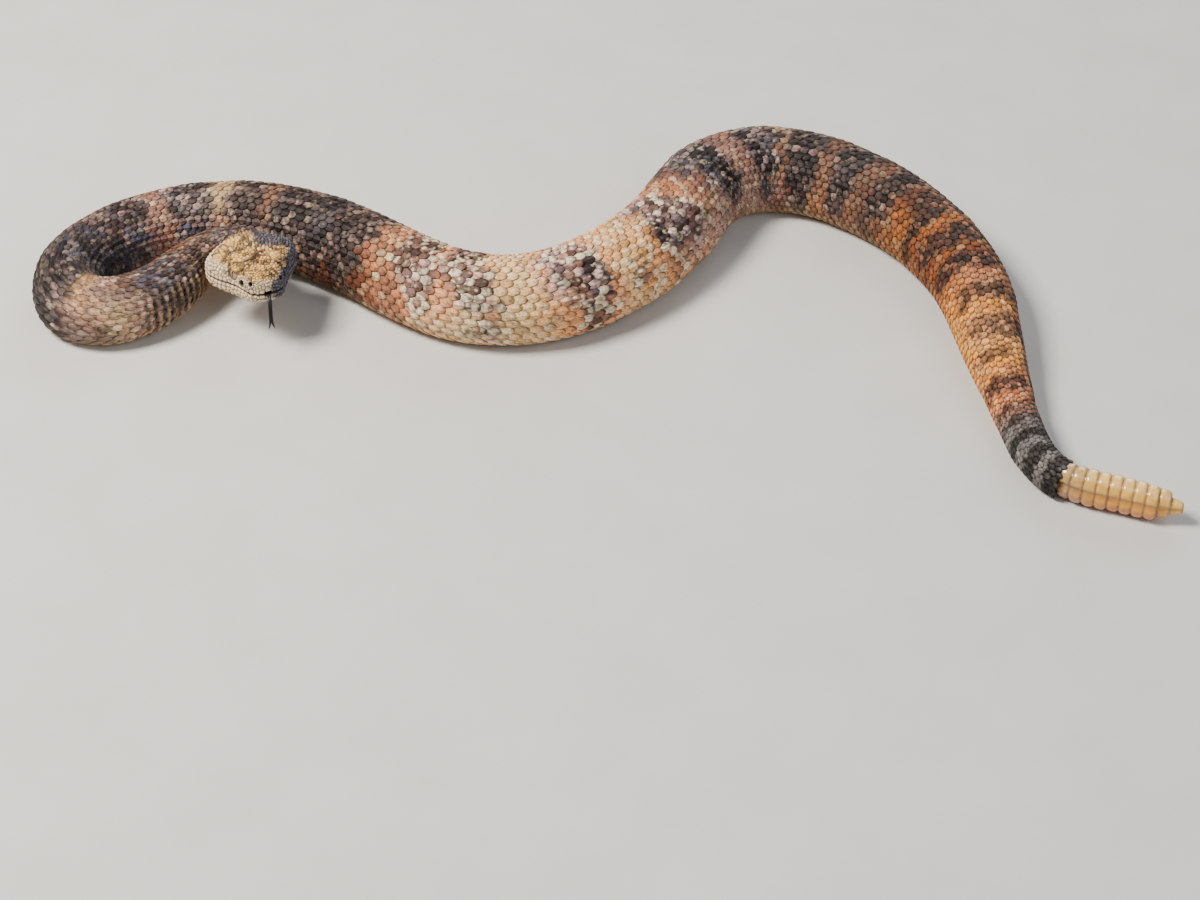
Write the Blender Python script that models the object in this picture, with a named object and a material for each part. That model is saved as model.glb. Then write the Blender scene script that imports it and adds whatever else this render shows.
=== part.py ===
"""Southwestern speckled rattlesnake, life size, resting on the floor in loose curves.

The whole animal follows one route, measured from the joint at the back of the head
to the end of the rattle. Every length of the body is a loft of cross-sections along
that route, and the head is a loft along its own axis, parted at the line of the mouth.
Sizes are in millimetres and degrees; meshes are written in metres.
"""
import math

import bmesh
import bpy
import numpy as np
from mathutils import Matrix, Vector

MM = 0.001
GAP = 0.3
SHARP_ANGLE = 50.0

# Route of the centre line: where it starts behind the head, and its bends in order,
# each a length and how far the body turns to its left over that length
ROUTE_START = (-117.6, 21.5)
ROUTE_HEADING = 112.0
BENDS = (
    (22, 128), (12, -3), (24, -38), (20, -87), (28, -60), (62, -66), (54, -25),
    (26, 9), (50, 65), (34, 20), (36, 18), (48, -85), (26, -24), (84, -47),
    (60, 3), (16, 8), (18, 53), (36, 5),
)
BEND_BLEND = 10
TAIL_END = 613.0

# Full width of the body, its height as a share of that width, and how high its
# underside is held, along the route
WIDTHS = (
    (0, 16.6), (5, 15.6), (18, 15.6), (27, 20.0), (56, 24.3), (96, 25.2), (136, 27.0),
    (186, 31.5), (236, 32.0), (396, 33.0), (436, 31.0), (496, 27.5), (526, 24.4),
    (546, 20.8), (560, 17.6), (576, 14.8), (592, 13.4), (613, 11.6),
)
HEIGHTS = ((0, 0.86), (572, 0.86), (613, 1.12))
LIFTS = ((0, 14.7), (5, 13.3), (12, 11.0), (20, 7.6), (32, 3.8), (44, 1.4), (54, 0), (613, 0))
TABLE_BLEND = 8

# Cross-section of the body
WIDEST_AT = 0.4
BACK_ROUNDNESS = 2.1
BELLY_ROUNDNESS = 2.6
BELLY_SINK = 0.045
BODY_SIDES = 20
BALL_SEGMENTS = (16, 10)
BODY_RING_STEP = 5.4
NECK_RING_STEP = 2.2
TAIL_RING_STEP = 3.2

# Where each length of the body ends, along the route
NECK_ENDS = (12.0, 24.0, 56.0)
BODY_END = 580.0
BODY_LENGTHS = 11

# Head, along its own axis, which points the other way from the route's start.
# Rows: distance back from the tip of the snout, full width, and how far the crown
# and the underside stand from the line of the mouth
HEAD_LENGTH = 31.0
HEAD_PITCH = 4.0
MOUTH_Z = 22.6
HEAD_STATIONS = (
    (0.0, 5.9, 3.2, 1.5), (0.5, 9.0, 4.5, 2.8), (1.5, 11.8, 5.5, 3.9),
    (3.2, 13.8, 6.3, 4.8), (5.7, 15.8, 7.0, 5.5), (8.3, 18.0, 7.6, 6.0),
    (11.4, 21.4, 8.2, 6.4), (15.6, 27.0, 8.7, 6.8), (19.8, 31.4, 8.9, 7.0),
    (22.9, 32.6, 8.9, 6.9), (25.5, 30.6, 8.7, 6.6), (28.0, 25.0, 8.5, 6.2),
    (31.0, 16.6, 8.35, 5.7),
)
HEAD_RINGS = 30
HEAD_RING_SPREAD = 0.75
HEAD_SIDES = 40
CROWN_ROUNDNESS = 2.6
JAW_ROUNDNESS = 3.4
NAPE_STARTS = 22.0
MOUTH_WAVE = 0.4
MOUTH_CORNER = 24.0
MOUTH_STEPS = 12
BLOCK_FRONT, BLOCK_BOTTOM, BLOCK_SIDE = -4.0, -12.0, 24.0

# Details of the head: distance back from the snout, height over the mouth, and size
EYE_BACK, EYE_UP, EYE_RADIUS, EYE_INSET = 10.6, 4.5, 2.25, 1.6
SOCKET_CLEARANCE = 0.3
HOLLOW_INSET = 0.1
PIT_BACK, PIT_UP, PIT_RADIUS = 5.8, 2.7, 0.95
NOSTRIL_BACK, NOSTRIL_UP, NOSTRIL_RADIUS = 2.3, 3.9, 0.6
BROW_BACK, BROW_SPREAD, BROW_UP = 11.2, 6.9, 7.1
BROW_SIZE = (3.9, 2.5, 0.9)
BROW_TURN, BROW_TILT = 14.0, 6.0
SLOT_RADIUS, SLOT_FLATNESS, SLOT_FRONT, SLOT_BACK = 1.1, 0.8, -3.0, 3.6

# Tongue: distance forward of the snout, to the left, and over the mouth
TONGUE_ROUTE = (
    (-2.2, 0.0, -0.1), (0.6, -0.1, -0.2), (2.4, -0.3, -0.9), (4.1, -0.7, -2.5),
    (5.4, -1.1, -4.8), (6.3, -1.4, -7.4), (7.0, -1.6, -10.4),
)
TONGUE_STRAND = (0.42, 0.3)
TONGUE_SIDES = 8
TONGUE_FORK_AT = 0.84
TONGUE_FORK_SPREAD = 0.9
TONGUE_STEM_SPREAD = 0.27
TONGUE_TAPER = 0.45
TONGUE_STEPS = 12
TONGUE_POINT = 0.8

# Rattle: its segments, their full height along it, and the shape of one segment as
# (place along the segment, swell from its groove)
RATTLE_SEGMENTS = 10
RATTLE_LENGTH = 39.0
RATTLE_HEIGHTS = ((0, 13.0), (2, 13.8), (5, 13.2), (7, 11.4), (8, 9.2), (9, 6.6), (10, 3.6))
RATTLE_AXIS_Z = 6.5
RATTLE_FLATNESS = 0.74
RATTLE_GROOVE = 0.86
RATTLE_SIDE_GROOVE = 0.12
RATTLE_SIDE_GROOVE_AT = -0.15
RATTLE_SIDE_GROOVE_WIDTH = 0.22
RATTLE_ROUNDNESS = 2.4
RATTLE_SIDES = 20
RATTLE_PROFILE = ((0.0, 0.0), (0.24, 0.8), (0.56, 1.0), (0.82, 0.75))

# Colours along the body, and of the other pieces
BODY_COLOURS = (
    (0, (0.50, 0.38, 0.28)), (60, (0.46, 0.33, 0.26)), (130, (0.42, 0.33, 0.28)),
    (240, (0.56, 0.36, 0.22)), (320, (0.52, 0.34, 0.22)), (400, (0.34, 0.24, 0.19)),
    (500, (0.42, 0.22, 0.11)), (570, (0.44, 0.24, 0.12)), (613, (0.34, 0.32, 0.29)),
)
HEAD_COLOUR = (0.55, 0.44, 0.31)
EYE_COLOUR = (0.42, 0.31, 0.16)
TONGUE_COLOUR = (0.015, 0.013, 0.015)
RATTLE_COLOUR = (0.62, 0.46, 0.27)


def remove_everything() -> None:
    """Empty the scene that the script was started in."""
    for thing in list(bpy.data.objects):
        bpy.data.objects.remove(thing, do_unlink=True)


def make_material(name: str, colour: tuple, roughness: float):
    """Make a plain Principled material."""
    material = bpy.data.materials.new(name)
    material.use_nodes = True
    shader = material.node_tree.nodes["Principled BSDF"]
    shader.inputs["Base Color"].default_value = (*colour, 1.0)
    shader.inputs["Roughness"].default_value = roughness
    shader.inputs["Metallic"].default_value = 0.0
    return material


def read_table(table: tuple, distance: float) -> float:
    """Read a table of (distance, value) rows, with its corners eased."""
    places = [row[0] for row in table]
    values = [row[1] for row in table]
    spread = np.linspace(-TABLE_BLEND, TABLE_BLEND, 9)
    low, high = places[0], places[-1]
    reach = min(1.0, (distance - low) / TABLE_BLEND, (high - distance) / TABLE_BLEND)
    samples = distance + spread * max(reach, 0.0)
    return float(np.interp(samples, places, values).mean())


def build_route() -> np.ndarray:
    """Follow the bends and return rows of x, y and heading at every millimetre."""
    edges = np.cumsum([0] + [length for length, turn in BENDS])
    distance = np.arange(0.0, edges[-1] + 0.5, 1.0)
    bend = np.clip(np.searchsorted(edges, distance, side="right") - 1, 0, len(BENDS) - 1)
    rates = np.array([turn / length for length, turn in BENDS])[bend]
    window = np.ones(BEND_BLEND + 1) / (BEND_BLEND + 1)
    for _ in range(2):
        rates = np.convolve(np.pad(rates, BEND_BLEND // 2, mode="edge"), window, mode="valid")
    steps = 0.5 * (rates[1:] + rates[:-1])
    heading = np.radians(ROUTE_HEADING + np.concatenate(([0.0], np.cumsum(steps))))
    middle = 0.5 * (heading[1:] + heading[:-1])
    x = ROUTE_START[0] + np.concatenate(([0.0], np.cumsum(np.cos(middle))))
    y = ROUTE_START[1] + np.concatenate(([0.0], np.cumsum(np.sin(middle))))
    return np.stack([x, y, heading], axis=1)


ROUTE = build_route()


def route_at(distance: float) -> tuple:
    """Give the place on the route and its unit heading at a distance."""
    marks = np.arange(len(ROUTE))
    x, y, heading = (float(np.interp(distance, marks, ROUTE[:, i])) for i in range(3))
    return Vector((x, y, 0)), Vector((math.cos(heading), math.sin(heading), 0))


def power(value: float, exponent: float) -> float:
    """Raise a sine or cosine to a power and keep its sign."""
    return math.copysign(abs(value) ** exponent, value)


def oval(width: float, above: float, below: float, top: float, bottom: float, sides: int) -> list:
    """Make a cross-section: across and up from its widest level.

    The upper half reaches `above` with superellipse exponent `top`, the lower half
    reaches `below` with exponent `bottom`.
    """
    points = []
    for i in range(sides):
        angle = 2 * math.pi * i / sides
        roundness = top if math.sin(angle) >= 0 else bottom
        reach = above if math.sin(angle) >= 0 else below
        across = 0.5 * width * power(math.cos(angle), 2 / roundness)
        points.append((across, reach * power(math.sin(angle), 2 / roundness)))
    return points


def body_section(distance: float) -> list:
    """Cross-section of the body at a distance, as (across, height over the floor)."""
    width = read_table(WIDTHS, distance)
    lift = read_table(LIFTS, distance)
    height = read_table(HEIGHTS, distance) * width
    level = WIDEST_AT * height
    points = oval(width, height - level, level + BELLY_SINK * height,
                  BACK_ROUNDNESS, BELLY_ROUNDNESS, BODY_SIDES)
    return [(across, lift + max(level + up, 0.0)) for across, up in points]


def place_section(section: list, place: Vector, heading: Vector) -> list:
    """Stand a cross-section upright across a heading; its +across is to the right."""
    right = Vector((heading.y, -heading.x, 0))
    return [place + right * across + Vector((0, 0, up)) for across, up in section]


def loft(name: str, rings: list, material, tip: Vector = None):
    """Skin rings of equal count into one closed object.

    The first ring is capped flat. The last is capped flat as well, or drawn to `tip`.
    """
    mesh = bpy.data.meshes.new(name)
    work = bmesh.new()
    loops = [[work.verts.new(point * MM) for point in ring] for ring in rings]
    count = len(loops[0])
    for near, far in zip(loops[:-1], loops[1:]):
        for i in range(count):
            j = (i + 1) % count
            work.faces.new((near[i], near[j], far[j], far[i]))
    work.faces.new(loops[0])
    if tip is None:
        work.faces.new(loops[-1])
    else:
        point = work.verts.new(tip * MM)
        for i in range(count):
            work.faces.new((loops[-1][i], loops[-1][(i + 1) % count], point))
    bmesh.ops.recalc_face_normals(work, faces=work.faces)
    work.to_mesh(mesh)
    work.free()
    thing = bpy.data.objects.new(name, mesh)
    bpy.context.scene.collection.objects.link(thing)
    mesh.materials.append(material)
    smooth(thing)
    return thing


def smooth(thing) -> None:
    """Shade a piece smooth but keep its flat ends crisp."""
    thing.data.shade_smooth()
    thing.data.set_sharp_from_angle(angle=math.radians(SHARP_ANGLE))


def body_colour(distance: float) -> tuple:
    """Mean colour of the body at a distance along the route."""
    places = [row[0] for row in BODY_COLOURS]
    return tuple(
        float(np.interp(distance, places, [row[1][i] for row in BODY_COLOURS])) for i in range(3)
    )


def make_length(name: str, start: float, end: float, step: float):
    """Make one length of the body between two distances, with flat ends."""
    count = max(2, round((end - start) / step))
    rings = []
    for i in range(count + 1):
        distance = start + (end - start) * i / count
        place, heading = route_at(distance)
        inset = {0: GAP / 2, count: -GAP / 2}.get(i, 0.0)
        rings.append(place_section(body_section(distance), place + heading * inset, heading))
    material = make_material(name, body_colour((start + end) / 2), 0.7)
    return loft(name, rings, material)


def make_body() -> None:
    """Make the neck, the body and the tail, length by length."""
    starts = (0.0,) + NECK_ENDS[:-1]
    for number, (start, end) in enumerate(zip(starts, NECK_ENDS), 1):
        step = BODY_RING_STEP if number == len(NECK_ENDS) else NECK_RING_STEP
        make_length(f"neck_{number}", start, end, step)
    span = (BODY_END - NECK_ENDS[-1]) / BODY_LENGTHS
    for number in range(1, BODY_LENGTHS + 1):
        end = NECK_ENDS[-1] + number * span
        make_length(f"body_{number}", end - span, end, BODY_RING_STEP)
    make_length("tail", BODY_END, TAIL_END, TAIL_RING_STEP)


def head_forward() -> Vector:
    """Unit vector from the back of the head to the snout, level."""
    yaw = math.radians(ROUTE_HEADING + 180)
    return Vector((math.cos(yaw), math.sin(yaw), 0))


def head_point(back: float, left: float, up: float) -> Vector:
    """Turn a place on the head into floor coordinates.

    `back` is measured from the tip of the snout, `left` to the animal's left and `up`
    from the level of the mouth, which rises towards the snout.
    """
    forward = head_forward()
    side = Vector((-forward.y, forward.x, 0))
    height = MOUTH_Z - back * math.tan(math.radians(HEAD_PITCH)) + up
    return Vector((*ROUTE_START, height)) + forward * (HEAD_LENGTH - back) + side * left


def head_shape(back: float) -> tuple:
    """Width, reach above and below the mouth, and roundness of both halves."""
    places = [row[0] for row in HEAD_STATIONS]
    width, above, below = (
        float(np.interp(back, places, [row[i] for row in HEAD_STATIONS])) for i in (1, 2, 3)
    )
    nape = max(0.0, (back - NAPE_STARTS) / (HEAD_LENGTH - NAPE_STARTS))
    top = CROWN_ROUNDNESS + (BACK_ROUNDNESS - CROWN_ROUNDNESS) * nape
    bottom = JAW_ROUNDNESS + (BELLY_ROUNDNESS - JAW_ROUNDNESS) * nape
    return width, above, below, top, bottom


def head_side(back: float, up: float) -> float:
    """Half width of the head at a height over the mouth."""
    width, above, below, top, bottom = head_shape(back)
    return 0.5 * width * (1 - (up / above) ** top) ** (1 / top)


def mouth_wave(back: float) -> float:
    """Rise and fall of the line of the mouth from its level."""
    return MOUTH_WAVE * math.sin(2 * math.pi * back / MOUTH_CORNER)


def make_whole_head():
    """Loft the head, with the lower jaw still part of it."""
    rings = []
    for i in range(HEAD_RINGS + 1):
        back = HEAD_LENGTH * (1 - (i / HEAD_RINGS) ** HEAD_RING_SPREAD)
        section = oval(*head_shape(back), HEAD_SIDES)
        inset = GAP / 2 if i == 0 else 0.0
        rings.append([head_point(back - inset, -across, up) for across, up in section])
    tip = head_point(-0.2, 0.0, 0.5 * (HEAD_STATIONS[0][2] - HEAD_STATIONS[0][3]))
    return loft("head", rings, make_material("head", HEAD_COLOUR, 0.65), tip)


def make_ball(name: str, middle: Vector, radius: float, material=None):
    """Add a ball."""
    mesh = bpy.data.meshes.new(name)
    work = bmesh.new()
    bmesh.ops.create_uvsphere(
        work, u_segments=BALL_SEGMENTS[0], v_segments=BALL_SEGMENTS[1], radius=radius * MM
    )
    bmesh.ops.translate(work, verts=work.verts, vec=middle * MM)
    work.to_mesh(mesh)
    work.free()
    ball = bpy.data.objects.new(name, mesh)
    bpy.context.scene.collection.objects.link(ball)
    if material:
        mesh.materials.append(material)
        smooth(ball)
    return ball


def make_brow(side: int):
    """Make the plate that roofs one eye, as a flat oval."""
    brow = make_ball("brow", Vector((0, 0, 0)), 1.0)
    turn = math.radians(ROUTE_HEADING + 180 + side * BROW_TURN)
    tilt = math.radians(-side * BROW_TILT)
    place = head_point(BROW_BACK, side * BROW_SPREAD, BROW_UP) * MM
    brow.data.transform(Matrix.Diagonal((*BROW_SIZE, 1.0)))
    brow.data.transform(Matrix.Rotation(tilt, 4, "X"))
    brow.data.transform(Matrix.Rotation(turn, 4, "Z"))
    brow.data.transform(Matrix.Translation(place))
    return brow


def make_jaw_block(clearance: float):
    """Make the block that holds the lower jaw, grown by a clearance on every side."""
    outline = [(BLOCK_FRONT, clearance)]
    for i in range(MOUTH_STEPS + 1):
        back = MOUTH_CORNER * i / MOUTH_STEPS
        outline.append((back, mouth_wave(back) + clearance))
    outline[-1] = (MOUTH_CORNER + clearance, outline[-1][1])
    outline += [(MOUTH_CORNER + clearance, BLOCK_BOTTOM), (BLOCK_FRONT, BLOCK_BOTTOM)]
    rings = [
        [head_point(back, left, up) for back, up in outline]
        for left in (-BLOCK_SIDE, BLOCK_SIDE)
    ]
    return loft("jaw_block", rings, make_material("cutter", HEAD_COLOUR, 1.0))


def make_slot():
    """Make the rod that cuts the notch for the tongue in both lips."""
    rings = []
    reach = SLOT_RADIUS * SLOT_FLATNESS
    for back in (SLOT_FRONT, SLOT_BACK):
        circle = oval(2 * SLOT_RADIUS, reach, reach, 2, 2, 2 * TONGUE_SIDES)
        rings.append([head_point(back, across, up) for across, up in circle])
    return loft("tongue_slot", rings, make_material("cutter", HEAD_COLOUR, 1.0))


def combine(thing, others: list, operation: str) -> None:
    """Apply a Boolean with a collection of closed pieces, then remove those pieces."""
    group = bpy.data.collections.new("cutters")
    bpy.context.scene.collection.children.link(group)
    for other in others:
        group.objects.link(other)
    change = thing.modifiers.new("combine", "BOOLEAN")
    change.operand_type = "COLLECTION"
    change.collection = group
    change.operation = operation
    change.solver = "EXACT"
    bpy.context.view_layer.update()
    graph = bpy.context.evaluated_depsgraph_get()
    result = bpy.data.meshes.new_from_object(thing.evaluated_get(graph), depsgraph=graph)
    thing.modifiers.clear()
    thing.data = result
    for other in others:
        bpy.data.objects.remove(other, do_unlink=True)
    bpy.data.collections.remove(group)
    keep_largest(thing)
    smooth(thing)


def keep_largest(thing) -> None:
    """Keep the largest closed surface of a piece."""
    work = bmesh.new()
    work.from_mesh(thing.data)
    bmesh.ops.remove_doubles(work, verts=work.verts, dist=0.00001)
    left = set(work.faces)
    shells = []
    while left:
        queue = [left.pop()]
        shell = list(queue)
        while queue:
            for edge in queue.pop().edges:
                for face in edge.link_faces:
                    if face in left:
                        left.remove(face)
                        queue.append(face)
                        shell.append(face)
        shells.append(shell)
    shells.sort(key=lambda shell: sum(face.calc_area() for face in shell))
    scraps = [face for shell in shells[:-1] for face in shell]
    bmesh.ops.delete(work, geom=scraps, context="FACES")
    work.to_mesh(thing.data)
    work.free()


def copy_piece(thing, name: str):
    """Copy a piece under a new name, with a mesh and a material of its own."""
    twin = thing.copy()
    twin.name = name
    twin.data = thing.data.copy()
    twin.data.materials.clear()
    twin.data.materials.append(make_material(name, HEAD_COLOUR, 0.65))
    bpy.context.scene.collection.objects.link(twin)
    return twin


def make_head() -> None:
    """Make the head, the lower jaw and the eyes."""
    head = make_whole_head()
    jaw = copy_piece(head, "lower_jaw")
    combine(jaw, [make_jaw_block(-GAP / 2)], "INTERSECT")
    combine(jaw, [make_slot()], "DIFFERENCE")
    combine(head, [make_brow(side) for side in (1, -1)], "UNION")
    cutters = [make_slot(), make_jaw_block(GAP / 2)]
    for side in (1, -1):
        eye_left = side * (head_side(EYE_BACK, EYE_UP) - EYE_INSET)
        eye_place = head_point(EYE_BACK, eye_left, EYE_UP)
        cutters.append(make_ball("socket", eye_place, EYE_RADIUS + SOCKET_CLEARANCE))
        pit_left = side * (head_side(PIT_BACK, PIT_UP) - HOLLOW_INSET)
        cutters.append(make_ball("pit", head_point(PIT_BACK, pit_left, PIT_UP), PIT_RADIUS))
        nostril_left = side * (head_side(NOSTRIL_BACK, NOSTRIL_UP) - HOLLOW_INSET)
        nostril_place = head_point(NOSTRIL_BACK, nostril_left, NOSTRIL_UP)
        cutters.append(make_ball("nostril", nostril_place, NOSTRIL_RADIUS))
        name = "eye_left" if side > 0 else "eye_right"
        make_ball(name, eye_place, EYE_RADIUS, make_material(name, EYE_COLOUR, 0.15))
    combine(head, cutters, "DIFFERENCE")


def tongue_middle(along: float) -> Vector:
    """Point on the middle of the tongue, from its root at 0 to its tips at 1."""
    spots = np.array(TONGUE_ROUTE)
    marks = np.linspace(0.0, 1.0, len(spots))
    forward, left, up = (float(np.interp(along, marks, spots[:, i])) for i in range(3))
    return head_point(-forward, left, up)


def make_strand(side: int):
    """Make one half of the tongue, which parts from the other at the fork."""
    across_way = head_point(0, 1, 0) - head_point(0, 0, 0)
    rings = []
    for i in range(TONGUE_STEPS + 1):
        along = i / TONGUE_STEPS
        fork = max(0.0, (along - TONGUE_FORK_AT) / (1 - TONGUE_FORK_AT))
        offset = side * (TONGUE_STEM_SPREAD + TONGUE_FORK_SPREAD * fork)
        size = 1.0 - TONGUE_TAPER * fork
        middle = tongue_middle(along) + across_way * offset
        way = tongue_middle(min(along + 0.05, 1)) - tongue_middle(max(along - 0.05, 0))
        way.normalize()
        over = across_way.cross(way).normalized()
        rings.append([
            middle + across_way * across * size + over * up * size
            for across, up in oval(2 * TONGUE_STRAND[0], TONGUE_STRAND[1], TONGUE_STRAND[1],
                                   2, 2, TONGUE_SIDES)
        ])
    tip = middle + way * TONGUE_POINT
    return loft("tongue", rings, make_material("tongue", TONGUE_COLOUR, 0.35), tip)


def make_tongue() -> None:
    """Make the forked tongue, hanging out of the front of the mouth."""
    tongue = make_strand(1)
    combine(tongue, [make_strand(-1)], "UNION")


def rattle_section(height: float) -> list:
    """Cross-section of the rattle: tall, flat-sided and grooved along each side."""
    half = 0.5 * height
    low = max(RATTLE_AXIS_Z - half, -BELLY_SINK * height)
    sides = oval(RATTLE_FLATNESS * height, half, half, RATTLE_ROUNDNESS, RATTLE_ROUNDNESS,
                 RATTLE_SIDES)
    points = []
    for across, up in sides:
        depth = math.exp(-((up / half - RATTLE_SIDE_GROOVE_AT) / RATTLE_SIDE_GROOVE_WIDTH) ** 2)
        points.append((across * (1 - RATTLE_SIDE_GROOVE * depth), max(low + half + up, 0.0)))
    return points


def make_rattle() -> None:
    """Make the rattle: a loft that swells and pinches once for each segment."""
    pitch = RATTLE_LENGTH / RATTLE_SEGMENTS
    rings = []
    for segment in range(RATTLE_SEGMENTS):
        for part, swell in RATTLE_PROFILE:
            count = segment + part
            full = float(np.interp(count, *zip(*RATTLE_HEIGHTS)))
            height = full * (RATTLE_GROOVE + (1 - RATTLE_GROOVE) * swell)
            place, heading = route_at(TAIL_END + GAP / 2 + pitch * count)
            rings.append(place_section(rattle_section(height), place, heading))
    tip = route_at(TAIL_END + RATTLE_LENGTH)[0] + Vector((0, 0, RATTLE_AXIS_Z))
    loft("rattle", rings, make_material("rattle", RATTLE_COLOUR, 0.3), tip)


def main() -> None:
    """Build the animal."""
    remove_everything()
    make_head()
    make_tongue()
    make_body()
    make_rattle()


main()
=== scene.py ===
"""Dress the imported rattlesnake: skin, scales, head, eyes, tongue and rattle.

Lengths are in millimetres and angles in degrees until a mesh is written, in metres.
The animal is one surface, with a place on it given by `t`, the distance along the
route (0 at the back of the head, negative towards the snout), and `v`, the share of
the girth from the middle of the back (positive to the animal's left, 0.5 under it).
"""
import logging
import math
from dataclasses import dataclass, field
from enum import Enum, IntEnum

import bpy
import numpy as np
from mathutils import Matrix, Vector
from mathutils.bvhtree import BVHTree


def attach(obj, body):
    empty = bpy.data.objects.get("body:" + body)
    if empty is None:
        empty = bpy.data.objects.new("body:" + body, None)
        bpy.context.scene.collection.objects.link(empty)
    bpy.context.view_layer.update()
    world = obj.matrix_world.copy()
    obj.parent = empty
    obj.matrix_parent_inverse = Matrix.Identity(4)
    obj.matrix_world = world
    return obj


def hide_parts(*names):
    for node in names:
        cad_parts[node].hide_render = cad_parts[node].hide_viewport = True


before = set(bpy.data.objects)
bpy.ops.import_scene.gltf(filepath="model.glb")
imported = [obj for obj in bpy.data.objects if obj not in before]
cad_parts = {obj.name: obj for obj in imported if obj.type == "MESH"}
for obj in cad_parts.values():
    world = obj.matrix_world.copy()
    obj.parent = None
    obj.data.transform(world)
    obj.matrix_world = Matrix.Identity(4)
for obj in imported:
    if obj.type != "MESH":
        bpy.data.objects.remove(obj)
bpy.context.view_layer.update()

logging.basicConfig(level=logging.INFO, format="%(name)s: %(message)s")
LOG = logging.getLogger("rattlesnake")

Array = np.ndarray
Object, Material = bpy.types.Object, bpy.types.Material
Socket = bpy.types.NodeSocket

MM = 0.001
SEED = 20

# The route and the sections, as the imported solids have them
ROUTE_START = (-117.6, 21.5)
ROUTE_HEADING = 112.0
BENDS = (
    (22, 128), (12, -3), (24, -38), (20, -87), (28, -60), (62, -66), (54, -25),
    (26, 9), (50, 65), (34, 20), (36, 18), (48, -85), (26, -24), (84, -47),
    (60, 3), (16, 8), (18, 53), (36, 5),
)
BEND_BLEND = 10
TAIL_END = 613.0
WIDTHS = (
    (0, 16.6), (5, 15.6), (18, 15.6), (27, 20.0), (56, 24.3), (96, 25.2), (136, 27.0),
    (186, 31.5), (236, 32.0), (396, 33.0), (436, 31.0), (496, 27.5), (526, 24.4),
    (546, 20.8), (560, 17.6), (576, 14.8), (592, 13.4), (613, 11.6),
)
HEIGHTS = ((0, 0.86), (572, 0.86), (613, 1.12))
LIFTS = (
    (0, 14.7), (5, 13.3), (12, 11.0), (20, 7.6), (32, 3.8), (44, 1.4), (54, 0), (613, 0),
)
TABLE_BLEND = 8
WIDEST_AT = 0.4
BACK_ROUNDNESS = 2.1
BELLY_ROUNDNESS = 2.6
BELLY_SINK = 0.045
HEAD_LENGTH = 31.0
HEAD_PITCH = 4.0
MOUTH_Z = 22.6
HEAD_STATIONS = (
    (0.0, 5.9, 3.2, 1.5), (0.5, 9.0, 4.5, 2.8), (1.5, 11.8, 5.5, 3.9),
    (3.2, 13.8, 6.3, 4.8), (5.7, 15.8, 7.0, 5.5), (8.3, 18.0, 7.6, 6.0),
    (11.4, 21.4, 8.2, 6.4), (15.6, 27.0, 8.7, 6.8), (19.8, 31.4, 8.9, 7.0),
    (22.9, 32.6, 8.9, 6.9), (25.5, 30.6, 8.7, 6.6), (28.0, 25.0, 8.5, 6.2),
    (31.0, 16.6, 8.35, 5.7),
)
CROWN_ROUNDNESS = 2.6
JAW_ROUNDNESS = 3.4
NAPE_STARTS = 22.0
MOUTH_WAVE = 0.4
MOUTH_CORNER = 24.0
EYE_BACK, EYE_UP, EYE_RADIUS, EYE_INSET = 10.6, 4.5, 2.25, 1.6
BROW_BACK, BROW_SPREAD, BROW_UP = 11.2, 6.9, 7.1
BROW_SIZE = (3.9, 2.5, 0.9)
BROW_TURN, BROW_TILT = 14.0, 6.0
SPOKE_SHARPNESS = 9
TONGUE_ROUTE = (
    (-2.2, 0.0, -0.1), (0.6, -0.1, -0.2), (2.4, -0.3, -0.9), (4.1, -0.7, -2.5),
    (5.4, -1.1, -4.8), (6.3, -1.4, -7.4), (7.0, -1.6, -10.4),
)
FOLD_PITCH = 2.5
RATTLE_LENGTH = 39.0
RATTLE_SEGMENTS = 10
RATTLE_AXIS_Z = 6.5

# The camera of the photo
CAMERA_PLACE = (0.0072, -0.6689, 0.5081)
CAMERA_TILT = 50.0
CAMERA_LENS = 72.0
CAMERA_SENSOR = 36.0

FLESH_NODES = (
    ["head", "lower_jaw", "tail"]
    + [f"neck_{i}" for i in range(1, 4)]
    + [f"body_{i}" for i in range(1, 12)]
)


def srgb(red: int, green: int, blue: int) -> Array:
    """Turn a screen colour of 0 to 255 into linear light."""
    value = np.array([red, green, blue]) / 255.0
    return np.where(value <= 0.04045, value / 12.92, ((value + 0.055) / 1.055) ** 2.4)


# The view transform pales and flattens colours, so they are made deeper and richer
DEPTH = 0.86
RICHNESS = 1.16
BRIGHTEST = 0.92


class Tone(Enum):
    """Named colours of the skin."""

    CREAM = (246, 212, 160)
    SALMON = (222, 154, 112)
    CLAY = (164, 118, 94)
    PINK = (190, 142, 128)
    ROSE = (208, 172, 158)
    APRICOT = (242, 186, 124)
    AMBER = (248, 176, 86)
    ORANGE = (226, 140, 62)
    RUST = (152, 84, 48)
    MAUVE = (126, 108, 112)
    PLUM = (98, 84, 92)
    SLATE = (106, 112, 132)
    STORM = (80, 86, 108)
    TAUPE = (114, 92, 82)
    BARK = (84, 66, 60)
    UMBER = (50, 38, 36)
    OXBLOOD = (88, 44, 32)
    INK = (9, 8, 11)
    CHALK = (246, 230, 202)
    ASH = (166, 162, 160)
    GOLD = (240, 196, 122)
    BONE = (255, 232, 196)

    @property
    def light(self) -> Array:
        """The colour in linear light, a little deeper than it is on a screen."""
        return DEPTH * srgb(*self.value) ** RICHNESS


class Side(IntEnum):
    """Side of the animal, as the sign of places to its left."""

    RIGHT = -1
    LEFT = 1

    @property
    def label(self) -> str:
        """The side's name, as the nodes have it."""
        return self.name.lower()


def smoothstep(low: float, high: float, value: Array) -> Array:
    """Rise smoothly from 0 at `low` to 1 at `high`."""
    share = np.clip((np.asarray(value, float) - low) / (high - low), 0.0, 1.0)
    return share * share * (3 - 2 * share)


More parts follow.
